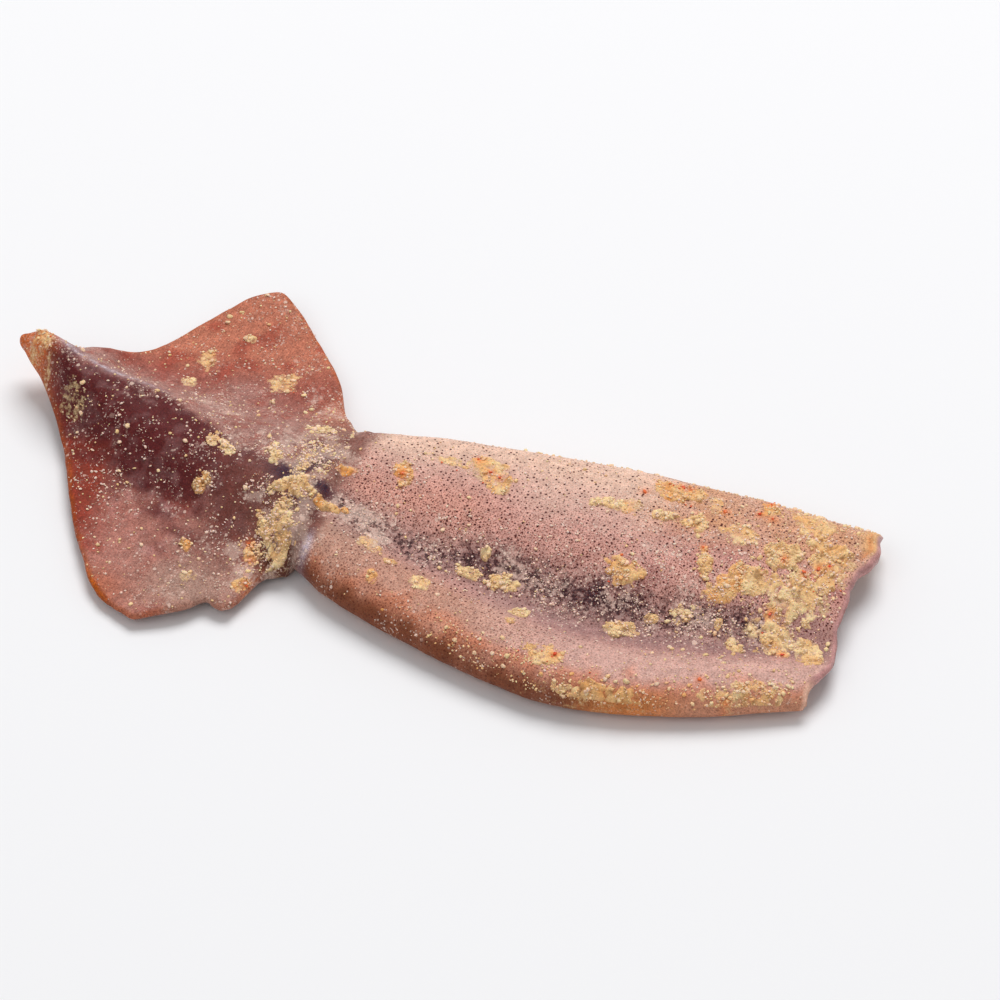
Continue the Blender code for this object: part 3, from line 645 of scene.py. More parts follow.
def tail_tone(x, y):
    """The fins and the ridge between them: brick red fins, the near one with painted sheen,
    a maroon ridge partly in painted shade, painted sheen and glints beyond its crest.
    """
    t = from_crest(x, y)
    beyond = y - through(DARK_SIDE_Y, x)
    broad, fine, grain = lumps(x, y, 12, 63), lumps(x, y, 3.5, 64), lumps(x, y, 1.1, 60)
    near = rise(1.5 * fine + 1.2 * grain - beyond, -2, 5)
    # Where painted sheen lies on the near fin
    grey = area("near_fin_sheen", x, y)
    near_fin = mixed(FIN_BROWN, FIN_RED, fall(x - 5 * broad, 50, 14))
    near_fin = mixed(near_fin, FIN_GREY, 0.95 * grey)
    far_fin = mixed(FAR_FIN_SKIN, FAR_FIN_ROOT, fall(t, 2.9, 1.2))
    far_fin = mixed(far_fin, RIDGE_FAR, 0.5 * area("far_fin_pale", x, y))
    blotch = rise(lumps(x, y, 5, 68), 0.25, 0.5)
    rim = fall(edge_distance(x, y)[0] + 0.6 * fine, 1.9, 1.9) * (1 - grey)
    mottled = rise(lumps(x, y, 2.6, 57) + 0.6 * lumps(x, y, 0.9, 58), 0.1, 0.7)
    # The ridge's near side: maroon partly in painted shade, with lighter mottles
    ridge_tone = mixed(RIDGE, RIDGE_FRONT, rise(x, 60, 22))
    ridge_tone = mixed(ridge_tone, RIDGE_FRONT, 0.4 * mottled)
    ridge_tone = mixed(ridge_tone, RIDGE_SHEEN, 0.12 * mottled)
    # Painted sheen on the ridge's far side
    far_ridge = fall(t + 0.2 * broad, 2, 1) * (1 - near)
    sheen = bell(beyond, 1.2, 2) * fall(x, 50, 12)
    glint = bell(beyond, 0.8, 0.8) * fall(x, 44, 12) * rise(x, 5, 5)
    smeared = np.maximum(area("near_fin_smear", x, y), 0.8 * area("near_fin_smear_low", x, y))
    meeting = bell(x, 95, 10) * fall(t, 1.7, 1)
    dark = rise(lumps(x, y, 4.4, 69) + 0.3 * fine, 0.05, 0.4)
    return painted(far_fin,
        (near_fin, near),
        (FIN_BLOTCH, 0.6 * blotch * (1 - grey)),
        (FIN_EDGE, 0.6 * rim + 0.5 * area("near_fin_corner", x, y)),
        (RIDGE_FRONT, 0.55 * area("near_fin_front", x, y)),
        (ridge_tone, fall(t + 0.4 * fine + 0.35 * broad, 2.05, 1.3) * near),
        (RIDGE_FAR, 0.85 * far_ridge * (1 - 0.6 * mottled)),
        (TIP, 0.3 * area("far_fin_front", x, y)),
        (RIDGE_SHEEN, 0.6 * sheen * (0.7 + 0.6 * fine)),
        (RIDGE_GLINT, 0.7 * glint * (0.6 + 0.8 * grain)),
        (FIN_SMEAR, 0.5 * smeared * rise(lumps(x, y, 3, 55) + grain, 0, 0.8)),
        (JUNCTION, 0.8 * meeting),
        (JUNCTION_DARK, 0.85 * meeting * dark * bell(y, -17, 13)),
        (HOLLOW, area("near_hollow_shade", x, y)),
        (TIP, 0.8 * fall(x, 15, 11)))


def dark_hollows(x, y):
    """The dark wet patches between the bran where the fins end, 1 at their middles."""
    return np.maximum(area("dark_hollow", x, y), area("dark_hollow_rear", x, y))


def chilli_halo(x, y):
    """How strongly the oil of a chilli fleck stains the bran and skin round it."""
    halo = np.zeros(x.shape)
    for spot_x, spot_y in CHILLI_PLACES:
        away = np.square(x - spot_x) + np.square(y - spot_y)
        halo = np.maximum(halo, np.exp(-away / 2.2))
    return halo


def skin_values(points):
    """The skin's colour at each point, and how strong its dots, dust, smears and stripe are."""
    x, y, z = points[:, 0], points[:, 1], points[:, 2]
    v = across(x, y)
    beyond = y - through(DARK_SIDE_Y, x)
    row = x - mouth_shift(x, y)
    distance, _ = edge_distance(x, y)
    on_mantle = rise(x + 3 * lumps(x, y, 6, 65), FIN_FRONT_X + 1, 5)
    dark = dark_hollows(x, y)
    corner = rise(row, MOUTH_X - 8, 5) * rise(y, 24, 5)
    mouth = rise(row, MOUTH_X - 0.9, 1)
    under = rise(surfaces(x, y)[0] - z, 2, 3) * rise(distance, 1.8, 3)
    clear = (1 - mouth) * (1 - under) * (1 - 0.8 * corner)

    # Painted shade in the narrow gap where the fin lobe overlaps the shoulder
    crease = bell(x - 0.06 * (y + 36), 100.4, 1) * bell(y, -35.5, 5)
    tone = painted(tail_tone(x, y),
        (mantle_tone(x, y), on_mantle),
        (JUNCTION_DARK, dark * (1.1 + 0.4 * lumps(x, y, 1.6, 59))),
        (HOLLOW, 0.8 * crease),
        # A painted highlight on the shoulder
        (SHOULDER, 0.9 * area("shoulder_shine", x, y)),
        (FLAP, 0.9 * corner),
        (GROOVE, 0.75 * far_groove(row, y)),
        (CHILLI_LIGHT, 0.45 * chilli_halo(x, y)),
        (UNDER_FLESH, under * (0.35 + 0.5 * rise(distance, 0, 10))),
        (mixed(MOUTH_FLESH, MOUTH_CORNER, fall(y, -18, 5)), mouth))

    # Fewer dots show where the painted sheen lies, and on the smooth near side
    band = bell(v, -0.42, 0.1) * rise(x, 150, 30)
    smooth_side = rise(-v, 0.35, 0.2) * rise(x, 165, 30)
    large = on_mantle * (1 - 0.6 * band) * (1 - 0.4 * smooth_side) * clear
    large = large * (1 - 0.45 * rise(-v, 0.5, 0.2))
    dense = np.maximum(bell(v, 0.02, 0.35), 0.6 * rise(x, 170, 25))
    dense = np.maximum(dense, 0.5 * rise(-v, 0.45, 0.2)) * (1 - 0.8 * smooth_side)
    small = on_mantle * (0.2 + 0.7 * dense) * (1 - 0.6 * band) + 0.4 * (1 - on_mantle)
    fin = (1 - on_mantle) * clear
    stripe = bell(v, through(STRIPE_AT, x), 0.15) * on_mantle * (1 - 0.8 * rise(x, 225, 8))
    dust = 0.05 + 0.1 * bell(beyond, -1, 5) + 0.4 * bell(beyond, 6, 5) * bell(x, 60, 26)
    dust = 0.09 + fin * (dust + 0.16 * rise(x, 50, 30)) + 0.5 * area("meeting_film", x, y)
    dust = dust + 0.45 * on_mantle * bell(x, 114, 20) * bell(v, -0.48, 0.35)
    dust = dust + 0.22 * stripe + 0.2 * bell(x, 190, 30) * bell(v, 0.2, 0.4)
    clusters = 0.7 + 1.3 * lumps(x, y, 7, 66) + 0.9 * lumps(x, y, 2.6, 67)
    dust = dust * np.clip(clusters, 0.1, 2.2) * clear * (1 - 0.95 * dark)
    smear, orange = smear_layer(x, y)
    folded = rise(-v, 0.86, 0.08) * bell(x, 193, 22)
    return tone, {"dots": large, "freckles": small * clear, "dust": np.clip(dust, 0, 1),
                  "smear": np.maximum(smear, 0.62 * folded) * clear,
                  "orange": np.maximum(orange, 0.6 * folded),
                  "stripe": stripe * clear, "wet": mouth, "fin": fin}


def make_body(material):
    """The detailed skin, closed at the tail and turned into the slit at the mouth."""
    start = TAIL_END_X + np.array([0.05, 0.25, 0.6, 1.1, 1.7, 2.4, 3.2])
    rows = int(round((MOUTH_X - start[-1]) / ROW_STEP))
    places = np.concatenate([start[:-1], np.linspace(start[-1], MOUTH_X, rows)])
    rings = [skin_ring(float(x)) for x in places]
    rings.append(skin_ring(MOUTH_X, 0.4 * LIP_ROUNDING))
    rings.append(skin_ring(MOUTH_X, LIP_ROUNDING))
    rings.append(slit_ring(MOUTH_X + 0.6 * LIP_ROUNDING, SLIT_GAP + 1.2))
    for share in (0, 0.05, 0.15, 0.4, 0.7, 1):
        rings.append(slit_ring(MOUTH_X - SLIT_DEPTH * share, SLIT_GAP * (1 - 0.5 * share)))
    count = len(rings[0])
    points = np.concatenate(rings + [rings[0].mean(axis=0)[None], rings[-1].mean(axis=0)[None]])
    tail_end, slit_end = len(points) - 2, len(points) - 1
    last = (len(rings) - 1) * count
    i = np.arange(count)
    j = (i + 1) % count
    row = (np.arange(len(rings) - 1) * count)[:, None]
    quads = np.stack([row + i, row + count + i, row + count + j, row + j], axis=2).reshape(-1, 4)
    tail_fan = np.stack([i, j, np.full(count, tail_end)], axis=1)
    slit_fan = np.stack([last + j, last + i, np.full(count, slit_end)], axis=1)
    faces = quads.tolist() + tail_fan.tolist() + slit_fan.tolist()
    tone, values = skin_values(points)
    body = new_piece("squid_skin", points, faces, material, tone, values)
    sheet = body.data.attributes.new("sheet", "FLOAT_VECTOR", "CORNER")
    sheet.data.foreach_set("vector", unrolled(rings).ravel())
    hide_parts("squid")


def unrolled(rings):
    """Each face corner's place on the skin laid out flat, in metres, so that dots stay round."""
    laid = []
    for ring in rings:
        closed = np.concatenate([ring, ring[:1]])
        way = np.concatenate([[0], np.cumsum(np.linalg.norm(np.diff(closed, axis=0), axis=1))])
        middle = OVER_COUNT // 2
        laid.append(np.stack([closed[:, 0], way - way[middle] + closed[middle, 1]], axis=1))
    laid = np.array(laid)
    flat = [np.moveaxis(corners_of(laid), 0, 2).reshape(-1, 2)]
    for end, first, second in ((laid[0], 0, 1), (laid[-1], 1, 0)):
        count = len(end) - 1
        centre = np.tile(end.mean(axis=0), (count, 1))
        fan = [end[first:first + count], end[second:second + count], centre]
        flat.append(np.stack(fan, axis=1).reshape(-1, 2))
    flat = np.concatenate(flat)
    return np.column_stack([flat, np.zeros(len(flat))]) * MM


def patch_depth(x, y, patch, edge):
    """How far inside a patch of bran each point lies: above 0 inside, 1 at its middle."""
    middle_x, middle_y, length, width, turn = patch[:5]
    cos, sin = math.cos(math.radians(turn)), math.sin(math.radians(turn))
    along = ((x - middle_x) * cos + (y - middle_y) * sin) / (0.56 * length)
    aside = ((y - middle_y) * cos - (x - middle_x) * sin) / (0.56 * width)
    return 1 - along * along - aside * aside + edge


def smear_layer(x, y):
    """How much bran is smeared on the skin in and round the patches, 0 to 1, and how orange."""
    edge = 0.5 * lumps(x, y, 3.4, 78)
    smear = np.zeros(x.shape)
    orange = np.zeros(x.shape)
    for patch in BRAN_PATCHES.values():
        here = patch[6] * rise(patch_depth(x, y, patch, edge), -0.18, 0.9)
        orange = np.where(here > smear, patch[7], orange)
        smear = np.maximum(smear, here)
    return smear, orange


def corners_of(grid):
    """The four corners of each cell of a grid, one after the other round it."""
    return np.stack([grid[:-1, :-1], grid[1:, :-1], grid[1:, 1:], grid[:-1, 1:]])


def steepness(x, y):
    """How steeply the back falls towards its sides."""
    return np.abs(surfaces(x, y + 0.5)[0] - surfaces(x, y - 0.5)[0])


def paste_layer(x, y):
    """The paste's thickness, its orange, its large and small grains, and how loose it is."""
    edge = 0.6 * lumps(x, y, 2.7, 71) + 0.5 * lumps(x, y, 1.3, 72) - 0.1
    thickness = np.full(x.shape, -1.0)
    orange = np.zeros(x.shape)
    loose = np.zeros(x.shape)
    for patch in BRAN_PATCHES.values():
        inside = patch_depth(x, y, patch, edge)
        here = PASTE_SHARE * patch[5] * (1 - np.exp(-2 * np.maximum(inside, 0)))
        here = here + np.minimum(inside, 0)
        orange = np.where(here > thickness, patch[7], orange)
        loose = np.where(here > thickness, 1 - patch[6], loose)
        thickness = np.maximum(thickness, here)
    uneven = 0.8 + 0.7 * lumps(x, y, 2.4, 79)
    pressed = grains(x, y, GRAIN, 73)
    small = grains(x, y, 0.5 * GRAIN, 74)
    gap = 0.28 + 0.42 * loose
    bumps = (0.9 * pressed + 0.35 * small) * gap * rise(thickness, -0.2, 0.4) - gap
    thickness = np.where(thickness > -0.3, thickness * uneven + bumps, thickness - 0.3)
    thickness = thickness - 1.5 * rise(steepness(x, y), STEEPEST, 0.8)
    return thickness, orange, pressed, small, loose


def make_paste(material):
    """All the bran paste as one crumbly layer that lies on the skin."""
    ys = np.arange(-74, 54, PASTE_STEP)
    x, y = np.meshgrid(np.arange(0, MOUTH_X, PASTE_STEP), ys, indexing="ij")
    room, _ = edge_distance(x, y)
    thickness, orange, pressed, small, loose = paste_layer(x, y)
    thickness = np.minimum(thickness, 2 * (room - 0.2))
    inside = room > PASTE_MARGIN
    filled = inside & (thickness > PASTE_THINNEST)
    a, b = np.nonzero(corners_of(filled).any(axis=0) & corners_of(inside).all(axis=0))
    first = a * len(ys) + b
    quads = np.stack([first, first + len(ys), first + len(ys) + 1, first + 1], axis=1)
    used, faces = np.unique(quads, return_inverse=True)
    faces = faces.reshape(quads.shape)
    x, y, thickness, orange, pressed, small, loose = (
        values.ravel()[used] for values in (x, y, thickness, orange, pressed, small, loose))
    thickness = np.maximum(thickness, PASTE_SUNK)
    slide = 0.12 * lumps(x, y, 0.7, 75)
    points = np.stack([x + mouth_shift(x, y) + slide, y, surfaces(x, y)[0] + thickness], axis=1)
    skin = np.where((x < FIN_FRONT_X)[:, None], tail_tone(x, y), mantle_tone(x, y))
    tone = painted(BRAN,
        (BRAN_CREAM, 0.45 + 0.6 * lumps(x, y, 3, 76) - orange),
        (BRAN_ORANGE, orange * (0.6 + 0.8 * lumps(x, y, 2.2, 77))),
        (BRAN_SHADE, (0.5 + 0.5 * loose) * (1 - pressed) * (1.2 - small)),
        (BRAN_SHADE, 0.5 * rise(1.4 * lumps(x, y, 1.1, 70), 0.2, 1)),
        (CHILLI_LIGHT, 0.6 * chilli_halo(x, y)),
        (skin, (0.7 - 0.5 * loose) * fall(thickness, 0.25, 0.25)))
    return new_piece("bran_paste", points, faces.tolist(), material, tone)


def bits(name, material, places, sizes, tones, fineness, flat, seed):
    """Many irregular bits joined in one mesh, each turned and knocked out of round on its own."""
    bm = bmesh.new()
    bmesh.ops.create_icosphere(bm, subdivisions=fineness, radius=1)
    ball = np.array([vert.co[:] for vert in bm.verts])
    tris = np.array([[vert.index for vert in face.verts] for face in bm.faces])
    bm.free()
    rng = np.random.default_rng(seed)
    count = len(places)
    shape = ball[None] * rng.uniform(0.72, 1.2, (count, len(ball), 1))
    shape = shape * np.stack([rng.uniform(0.85, 1.35, count), rng.uniform(0.7, 1.1, count),
                              rng.uniform(0.7, 1.2, count) * flat], axis=1)[:, None, :]
    turn, lean = rng.uniform(0, 2 * math.pi, (2, count))
    lean = 0.5 * np.sin(lean)
    tilted_y = shape[..., 1] * np.cos(lean)[:, None] - shape[..., 2] * np.sin(lean)[:, None]
    tilted_z = shape[..., 1] * np.sin(lean)[:, None] + shape[..., 2] * np.cos(lean)[:, None]
    cos, sin = np.cos(turn)[:, None], np.sin(turn)[:, None]
    turned = np.stack([shape[..., 0] * cos - tilted_y * sin,
                       shape[..., 0] * sin + tilted_y * cos, tilted_z], axis=2)
    points = (turned * sizes[:, None, None] + places[:, None, :]).reshape(-1, 3)
    faces = (tris[None] + (np.arange(count) * len(ball))[:, None, None]).reshape(-1, 3)
    return new_piece(name, points, faces.tolist(), material, np.repeat(tones, len(ball), axis=0))


def crumb_share(x, y):
    """How likely a crumb is: most on the paste, some on the ridge, the folds and the far rim."""
    thickness, _, _, _, loose = paste_layer(x, y)
    v = across(x, y)
    share = 0.008 + (0.1 + 0.9 * loose) * rise(thickness, -0.4, 0.5)
    share = share + 0.8 * bell(x + 3 * lumps(x, y, 5, 86), 92.5, 5) * bell(y, -22, 18)
    share = share + 0.008 * bell(v, through(STRIPE_AT, x), 0.15) * (x > 110)
    share = share + 0.22 * bell(v, -0.88, 0.1) * rise(x, 130, 35)
    rounded = fall(edge_distance(x, y)[0], 2.2, 1.6) * (v < 0)
    share = share + 1.2 * rounded * bell(x, 196, 28)
    share = share + 0.3 * bell(v, 0.97, 0.05) * (x > 120) + 0.06 * rise(x, 190, 30)
    share = share + 0.02 * (x < FIN_FRONT_X) * (1 + lumps(x, y, 9, 81))
    clusters = 0.8 + lumps(x, y, 2.3, 80) + 0.5 * lumps(x, y, 0.9, 85)
    return np.clip(share * (1 - 0.9 * dark_hollows(x, y)) * clusters, 0, 1)


def scattered(count, seed, margin, share_of):
    """Places on the squid's back, drawn at random and kept by a share."""
    rng = np.random.default_rng(seed)
    found = np.zeros((0, 2))
    while len(found) < count:
        x = rng.uniform(1, MOUTH_X - 0.5, 6 * count)
        y = rng.uniform(-73, 53, 6 * count)
        keep = (edge_distance(x, y)[0] > margin) & (rng.random(6 * count) < share_of(x, y))
        found = np.concatenate([found, np.stack([x[keep], y[keep]], axis=1)])
    return found[:count, 0], found[:count, 1], rng


def on_top(x, y, lift):
    """Points that rest on the skin or on the paste over it."""
    thickness = paste_layer(x, y)[0]
    height = surfaces(x, y)[0] + np.maximum(thickness, 0) + lift
    return np.stack([x + mouth_shift(x, y), y, height], axis=1)


def bran_tones(x, y, rng, cream):
    """A colour for each bit of bran, from tan to cream, more orange where the paste is."""
    count = len(x)
    near_fold = 0.7 * bell(across(x, y), -0.93, 0.13) * (x > 125)
    orange = np.maximum(paste_layer(x, y)[1], near_fold)
    pale = 0.3 + 0.5 * lumps(x, y, 3, 76) + 0.5 * rng.random(count)
    tone = painted(BRAN,
        (BRAN_CREAM, pale * cream),
        (BRAN_ORANGE, np.square(rng.random(count)) * (0.15 + 0.85 * orange)),
        (BRAN_ROSY, 0.8 * np.square(rng.random(count))),
        (CHILLI_LIGHT, 0.5 * chilli_halo(x, y)))
    return tone * rng.uniform(0.88, 1.08, (count, 1))


def dust_share(x, y):
    """How likely a speck of dust is: in clusters, thick on the ridge and where the fins end."""
    v = across(x, y)
    tail = fall(x, FIN_FRONT_X, 6)
    beyond = y - through(DARK_SIDE_Y, x)
    on_tail = 0.01 * bell(from_crest(x, y), 0.5, 0.7) + 0.35 * bell(x, 70, 14) * bell(beyond, 0, 5)
    on_tail = on_tail + 0.3 * bell(beyond, 6.5, 4.5) * bell(x, 62, 24)
    on_tail = on_tail + 0.16 * area("near_fin_dust", x, y)
    share = 0.05 + tail * on_tail + 0.7 * area("meeting_dust", x, y)
    share = share + 0.2 * (1 - tail) * bell(v, through(STRIPE_AT, x), 0.17)
    share = share + 0.15 * rise(x, 150, 30) * bell(v, 0.2, 0.5)
    clusters = 0.06 + 2 * rise(lumps(x, y, 1.7, 83) + lumps(x, y, 6, 82), 0.05, 0.8)
    return np.clip(share * (1 - 0.9 * dark_hollows(x, y)) * clusters, 0, 1)


def make_loose(name, material, share_of, dusty=0):
    """Loose bran of one kind: coarse crumbs with more sides, small grains, or fine pale dust."""
    count, margin, least, added, rarity, lift, cream, fineness, flat, seed = BITS[name]
    x, y, rng = scattered(count, seed, margin, share_of)
    sizes = least + added * rng.random(count) ** rarity
    tones = mixed(bran_tones(x, y, rng, cream), DUST, np.full(count, dusty))
    bits(name, material, on_top(x, y, lift * sizes), sizes, tones, fineness, flat, seed + 1)


def make_chilli(material):
    """Red flecks of dried chilli, the ones that stand out and a few more in the orange paste."""
    rng = np.random.default_rng(97)
    x, y = np.array(CHILLI_PLACES, dtype=float).T
    more_x, more_y, _ = scattered(SMALL_CHILLI, 98, 1, lambda a, b: 0.9 * paste_layer(a, b)[1])
    x, y = np.concatenate([x, more_x]), np.concatenate([y, more_y])
    sizes = np.concatenate([rng.uniform(0.36, 0.6, len(CHILLI_PLACES)),
                            rng.uniform(0.2, 0.36, SMALL_CHILLI)])
    tones = mixed(CHILLI, CHILLI_LIGHT, rng.random(len(x)) * 0.8)
    places = on_top(x, y, 0.1 + 0.2 * sizes)
    bits("chilli_flecks", material, places, sizes, tones, 2, 0.35, 99)


class Nodes:
    """A short way to lay out a material's nodes and links."""

    def __init__(self, name):
        self.material = bpy.data.materials.new(name)
        self.material.use_nodes = True
        self.tree = self.material.node_tree
        self.place = self.add("TexCoord").outputs["Object"]
        self.tone = self.attribute("tone", "Color")

    def add(self, kind, settings=None, **inputs):
        """A node with its settings, and its inputs by their names, each a link or a value."""
        node = self.tree.nodes.new("ShaderNode" + kind)
        for key, value in (settings or {}).items():
            setattr(node, key, value)
        return self.fill(node, inputs)

    def fill(self, node, inputs):
        for key, value in inputs.items():
            self.put(node.inputs[key.replace("_", " ")], value)
        return node

    def put(self, socket, value):
        if isinstance(value, bpy.types.NodeSocket):
            self.tree.links.new(value, socket)
        elif isinstance(value, np.ndarray):
            socket.default_value = (*value.tolist(), 1)
        else:
            socket.default_value = value

    def surface(self, **inputs):
        """The finished material, from the inputs of its surface."""
        self.fill(self.tree.nodes["Principled BSDF"], inputs)
        return self.material

    def maths(self, operation, first, second):
        node = self.add("Math", {"operation": operation})
        self.put(node.inputs[0], first)
        self.put(node.inputs[1], second)
        return node.outputs[0]

    def times(self, first, second):
        return self.maths("MULTIPLY", first, second)

    def spread(self, value, low, high, new_low=0, new_high=1):
        """The value's range from low to high, spread smoothly over a new range."""
        node = self.add("MapRange", {"interpolation_type": "SMOOTHSTEP"})
        for socket, setting in zip(node.inputs, (value, low, high, new_low, new_high)):
            self.put(socket, setting)
        return node.outputs[0]

    def mix(self, share, first, second):
        """The first colour moved towards the second by the share."""
        node = self.add("Mix", {"data_type": "RGBA"})
        for number, setting in ((0, share), (6, first), (7, second)):
            self.put(node.inputs[number], setting)
        return node.outputs[2]

    def attribute(self, name, output="Fac"):
        return self.add("Attribute", {"attribute_name": name}).outputs[output]

    def noise(self, size_mm, detail=2, roughness=0.5, place=None):
        return self.add("TexNoise", Vector=self.place if place is None else place,
                        Scale=1 / (size_mm * MM), Detail=detail,
                        Roughness=roughness).outputs["Fac"]

    def scaled(self, tone, factor):
        return self.add("VectorMath", {"operation": "SCALE"}, Vector=tone,
                        Scale=factor).outputs[0]

    def cells(self, sheet, size_mm, uneven):
        """Cells of the size: the distance to a cell's middle, and three random numbers of it."""
        cell = self.add("TexVoronoi", {"voronoi_dimensions": "2D"}, Vector=sheet,
                        Scale=1 / (size_mm * MM), Randomness=uneven)
        chances = self.add("SeparateColor", Color=cell.outputs["Color"]).outputs
        return cell.outputs["Distance"], chances

    def spots(self, sheet, size_mm, smallest_mm, largest_mm):
        """Round spots that differ in size, one in each cell."""
        distance, chances = self.cells(sheet, size_mm, 0.85)
        growth = self.times(chances[0], (largest_mm - smallest_mm) / size_mm)
        away = self.maths("SUBTRACT", distance, self.maths("ADD", growth, smallest_mm / size_mm))
        return self.spread(away, -DOT_SOFTNESS / size_mm, DOT_SOFTNESS / size_mm, 1, 0)

    def specks(self, sheet, size_mm, largest_mm, amount):
        """Uneven specks, at most one in each cell, more of them where the amount is high."""
        ragged = self.add("TexNoise", Vector=sheet, Scale=1.6 / (size_mm * MM))
        moved = self.add("VectorMath", {"operation": "ADD"})
        self.put(moved.inputs[0], sheet)
        self.put(moved.inputs[1], self.scaled(ragged.outputs["Color"], 0.5 * size_mm * MM))
        distance, chances = self.cells(moved.outputs[0], size_mm, 0.95)
        reach = self.times(self.times(chances[1], chances[1]), largest_mm / size_mm)
        shape = self.spread(self.maths("SUBTRACT", distance, reach), -0.06, 0.06, 1, 0)
        there = self.spread(self.maths("SUBTRACT", amount, chances[0]), 0, 0.04)
        return self.times(self.times(shape, there), self.spread(chances[2], 0, 1, 0.15, 0.9))

    def bump(self, height, strength, distance_mm, **under):
        return self.add("Bump", Height=height, Strength=strength,
                        Distance=distance_mm * MM, **under).outputs[0]


def skin_material():
    """Moist skin with pigment dots of three sizes, smeared bran and specks of bran dust."""
    n = Nodes("squid_skin")
    sheet = n.attribute("sheet", "Vector")
    dust, smear, orange = n.attribute("dust"), n.attribute("smear"), n.attribute("orange")
    stripe, wet, fin = n.attribute("stripe"), n.attribute("wet"), n.attribute("fin")
    fine = n.noise(0.5, 3, 0.65)
    patches = n.noise(1.5, 5, 0.7)
    uneven = n.maths("SUBTRACT", patches, 0.5)

    # The skin's own unevenness, the fins' fine rays and mottles, and small pale points
    broad = n.spread(n.noise(2.6, 4, 0.6), 0.3, 0.7, 0.86, 1.16)
    skin = n.scaled(n.tone, n.times(broad, n.spread(fine, 0.34, 0.66, 0.88, 1.14)))
    streaks = n.add("Mapping", Vector=n.place, Rotation=(0, 0, FIN_RAY_TURN),
                    Scale=(1, FIN_RAY_STRETCH, 1)).outputs[0]
    rays = n.times(n.spread(n.noise(0.55, 3, 0.6, streaks), 0.4, 0.64), fin)
    skin = n.mix(n.times(rays, 0.35), skin, n.scaled(skin, 1.5))
    mottle = n.times(n.spread(n.noise(1.2, 5, 0.75), 0.44, 0.56), fin)
    skin = n.mix(n.times(mottle, 0.5), skin, n.scaled(skin, 0.66))
    light = n.times(n.spread(n.noise(0.42), 0.5, 0.66), n.maths("ADD", n.times(dust, 0.5), 0.22))
    skin = n.mix(light, skin, n.scaled(skin, 1.5))

    # Pigment dots, then the stripe's dark flecks and its pale ones, partly bran dust and partly
    # painted sheen
    for apart, smallest, largest, strength, shade, layer in DOT_KINDS:
        there = n.times(n.spots(sheet, apart, smallest, largest), n.attribute(layer))
        skin = n.mix(n.times(there, strength), skin, shade)
    skin = n.mix(n.times(n.spread(patches, 0.52, 0.44, 0, 0.85), stripe), skin, DARK_FLECK)
    skin = n.mix(n.times(n.spread(patches, 0.54, 0.6, 0, 0.5), stripe), skin, FLAKE)

    # Smeared bran, then a film and specks of dust
    cover = n.spread(n.maths("ADD", smear, n.times(uneven, 2.6)), 0.55, 1.05, 0, 0.7)
    smeared = n.scaled(n.mix(orange, BRAN, BRAN_ORANGE), 0.78)
    skin = n.mix(cover, skin, n.mix(n.spread(fine, 0.4, 0.64), smeared, BRAN_CREAM))
    film = n.spread(n.maths("ADD", n.times(uneven, 2), dust), 0.35, 0.85, 0, 0.42)
    skin = n.mix(n.times(film, n.maths("SUBTRACT", 1, n.times(fin, 0.2))), skin, DUST)
    specks = 0
    for apart, largest, many in SPECK_KINDS:
        specks = n.maths("MAXIMUM", n.specks(sheet, apart, largest, n.times(dust, many)), specks)
    faint = n.maths("SUBTRACT", 1, n.times(fin, 0.3))
    skin = n.mix(n.times(specks, faint), skin, DUST)

    rough = n.spread(n.noise(4, 3), 0.3, 0.7, 0.34, 0.56)
    rough = n.maths("ADD", rough, n.times(n.maths("MAXIMUM", specks, cover), 0.25))
    raised = n.maths("MAXIMUM", specks, n.times(cover, fine))
    micro = n.bump(n.noise(0.7, 4, 0.65), 0.9, 0.3)
    return n.surface(Base_Color=skin, Roughness=n.maths("SUBTRACT", rough, n.times(wet, 0.18)),
                     Specular_IOR_Level=0.1, Subsurface_Weight=0.08,
                     Subsurface_Radius=(0.003, 0.0014, 0.001),
                     Normal=n.bump(raised, 0.8, 0.25, Normal=micro))


def bran_material():
    """Damp rice bran: granular, nearly matt, translucent, a little darker in its pores as painted
    shade.
    """
    n = Nodes("bran")
    grain = n.noise(0.4, 3, 0.65)
    return n.surface(Base_Color=n.scaled(n.tone, n.spread(grain, 0.34, 0.66, 0.84, 1.18)),
                     Roughness=0.55, Specular_IOR_Level=0.15, Subsurface_Weight=0.3,
                     Subsurface_Radius=(0.0016, 0.001, 0.0005), Normal=n.bump(grain, 0.6, 0.15))


def chilli_material():
    """Thin soft flecks of red chilli."""
    n = Nodes("chilli")
    blotches = n.spread(n.noise(0.5), 0.45, 0.75, 0, 0.6)
    return n.surface(Base_Color=n.mix(blotches, n.tone, CHILLI_LIGHT), Roughness=0.4,
                     Subsurface_Weight=0.3, Subsurface_Radius=(0.002, 0.0008, 0.0004))


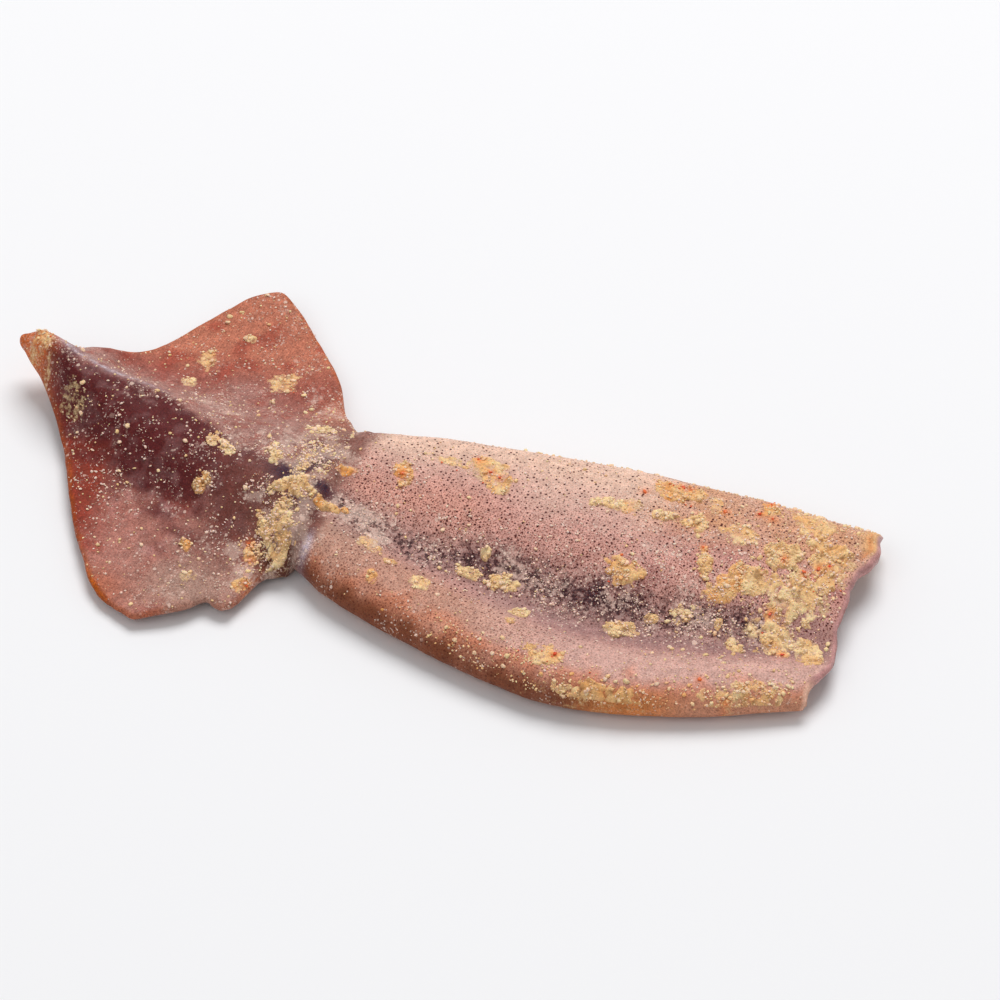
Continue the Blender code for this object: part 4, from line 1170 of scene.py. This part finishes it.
def make_floor():
    """A plain pale floor."""
    material = bpy.data.materials.new("floor")
    material.use_nodes = True
    shader = material.node_tree.nodes["Principled BSDF"]
    shader.inputs["Base Color"].default_value = FLOOR_COLOUR
    shader.inputs["Roughness"].default_value = 0.9
    mesh = bpy.data.meshes.new("floor")
    corners = [(x * FLOOR_REACH, y * FLOOR_REACH, FLOOR_LEVEL)
               for x, y in ((-1, -1), (1, -1), (1, 1), (-1, 1))]
    mesh.from_pydata(corners, [], [(0, 1, 2, 3)])
    mesh.materials.append(material)
    add_object("floor", mesh)


def area_light(name, turn, height, distance, size, power):
    """A soft lamp that looks at the squid, placed by its turn from the viewer and its height."""
    light = bpy.data.lights.new(name, "AREA")
    light.shape = "DISK"
    light.size = size
    light.energy = power
    angle = VIEW_AZIMUTH + math.radians(turn) - math.pi / 2
    up = math.radians(height)
    away = Vector((math.cos(angle) * math.cos(up), math.sin(angle) * math.cos(up), math.sin(up)))
    lamp = add_object(name, light)
    lamp.location = away * distance
    lamp.rotation_euler = (-away).to_track_quat("-Z", "Y").to_euler()


def make_lights():
    """A large soft lamp above and behind, a weak one in front, and pale surroundings."""
    area_light("key", *KEY_LIGHT)
    area_light("fill", *FILL_LIGHT)
    world = bpy.data.worlds.new("studio")
    world.use_nodes = True
    background = world.node_tree.nodes["Background"]
    background.inputs["Color"].default_value = (1, 1, 1, 1)
    background.inputs["Strength"].default_value = SURROUNDINGS
    bpy.context.scene.world = world


def make_camera():
    """The photo's long lens, looking down on the squid from the near side."""
    camera = bpy.data.cameras.new("camera")
    camera.sensor_width = 36
    camera.lens = camera.sensor_width * VIEW_DISTANCE / VIEW_WIDTH
    camera.clip_end = 20
    look = Vector((-math.sin(VIEW_AZIMUTH) * math.cos(VIEW_ELEVATION),
                   math.cos(VIEW_AZIMUTH) * math.cos(VIEW_ELEVATION), -math.sin(VIEW_ELEVATION)))
    target_x, target_y = VIEW_TARGET
    target = Vector(((target_x - ORIGIN_X) * MM, (target_y - ORIGIN_Y) * MM, 0))
    eye = add_object("camera", camera)
    eye.location = target - look * VIEW_DISTANCE
    eye.rotation_euler = look.to_track_quat("-Z", "Y").to_euler()
    bpy.context.scene.camera = eye


def main():
    bpy.context.scene.view_settings.view_transform = "Standard"
    bran = bran_material()
    make_body(skin_material())
    make_paste(bran)
    make_loose("bran_crumbs", bran, crumb_share)
    make_loose("bran_grains", bran, crumb_share)
    make_loose("bran_dust", bran, dust_share, 0.95)
    make_chilli(chilli_material())
    make_floor()
    make_lights()
    make_camera()


main()
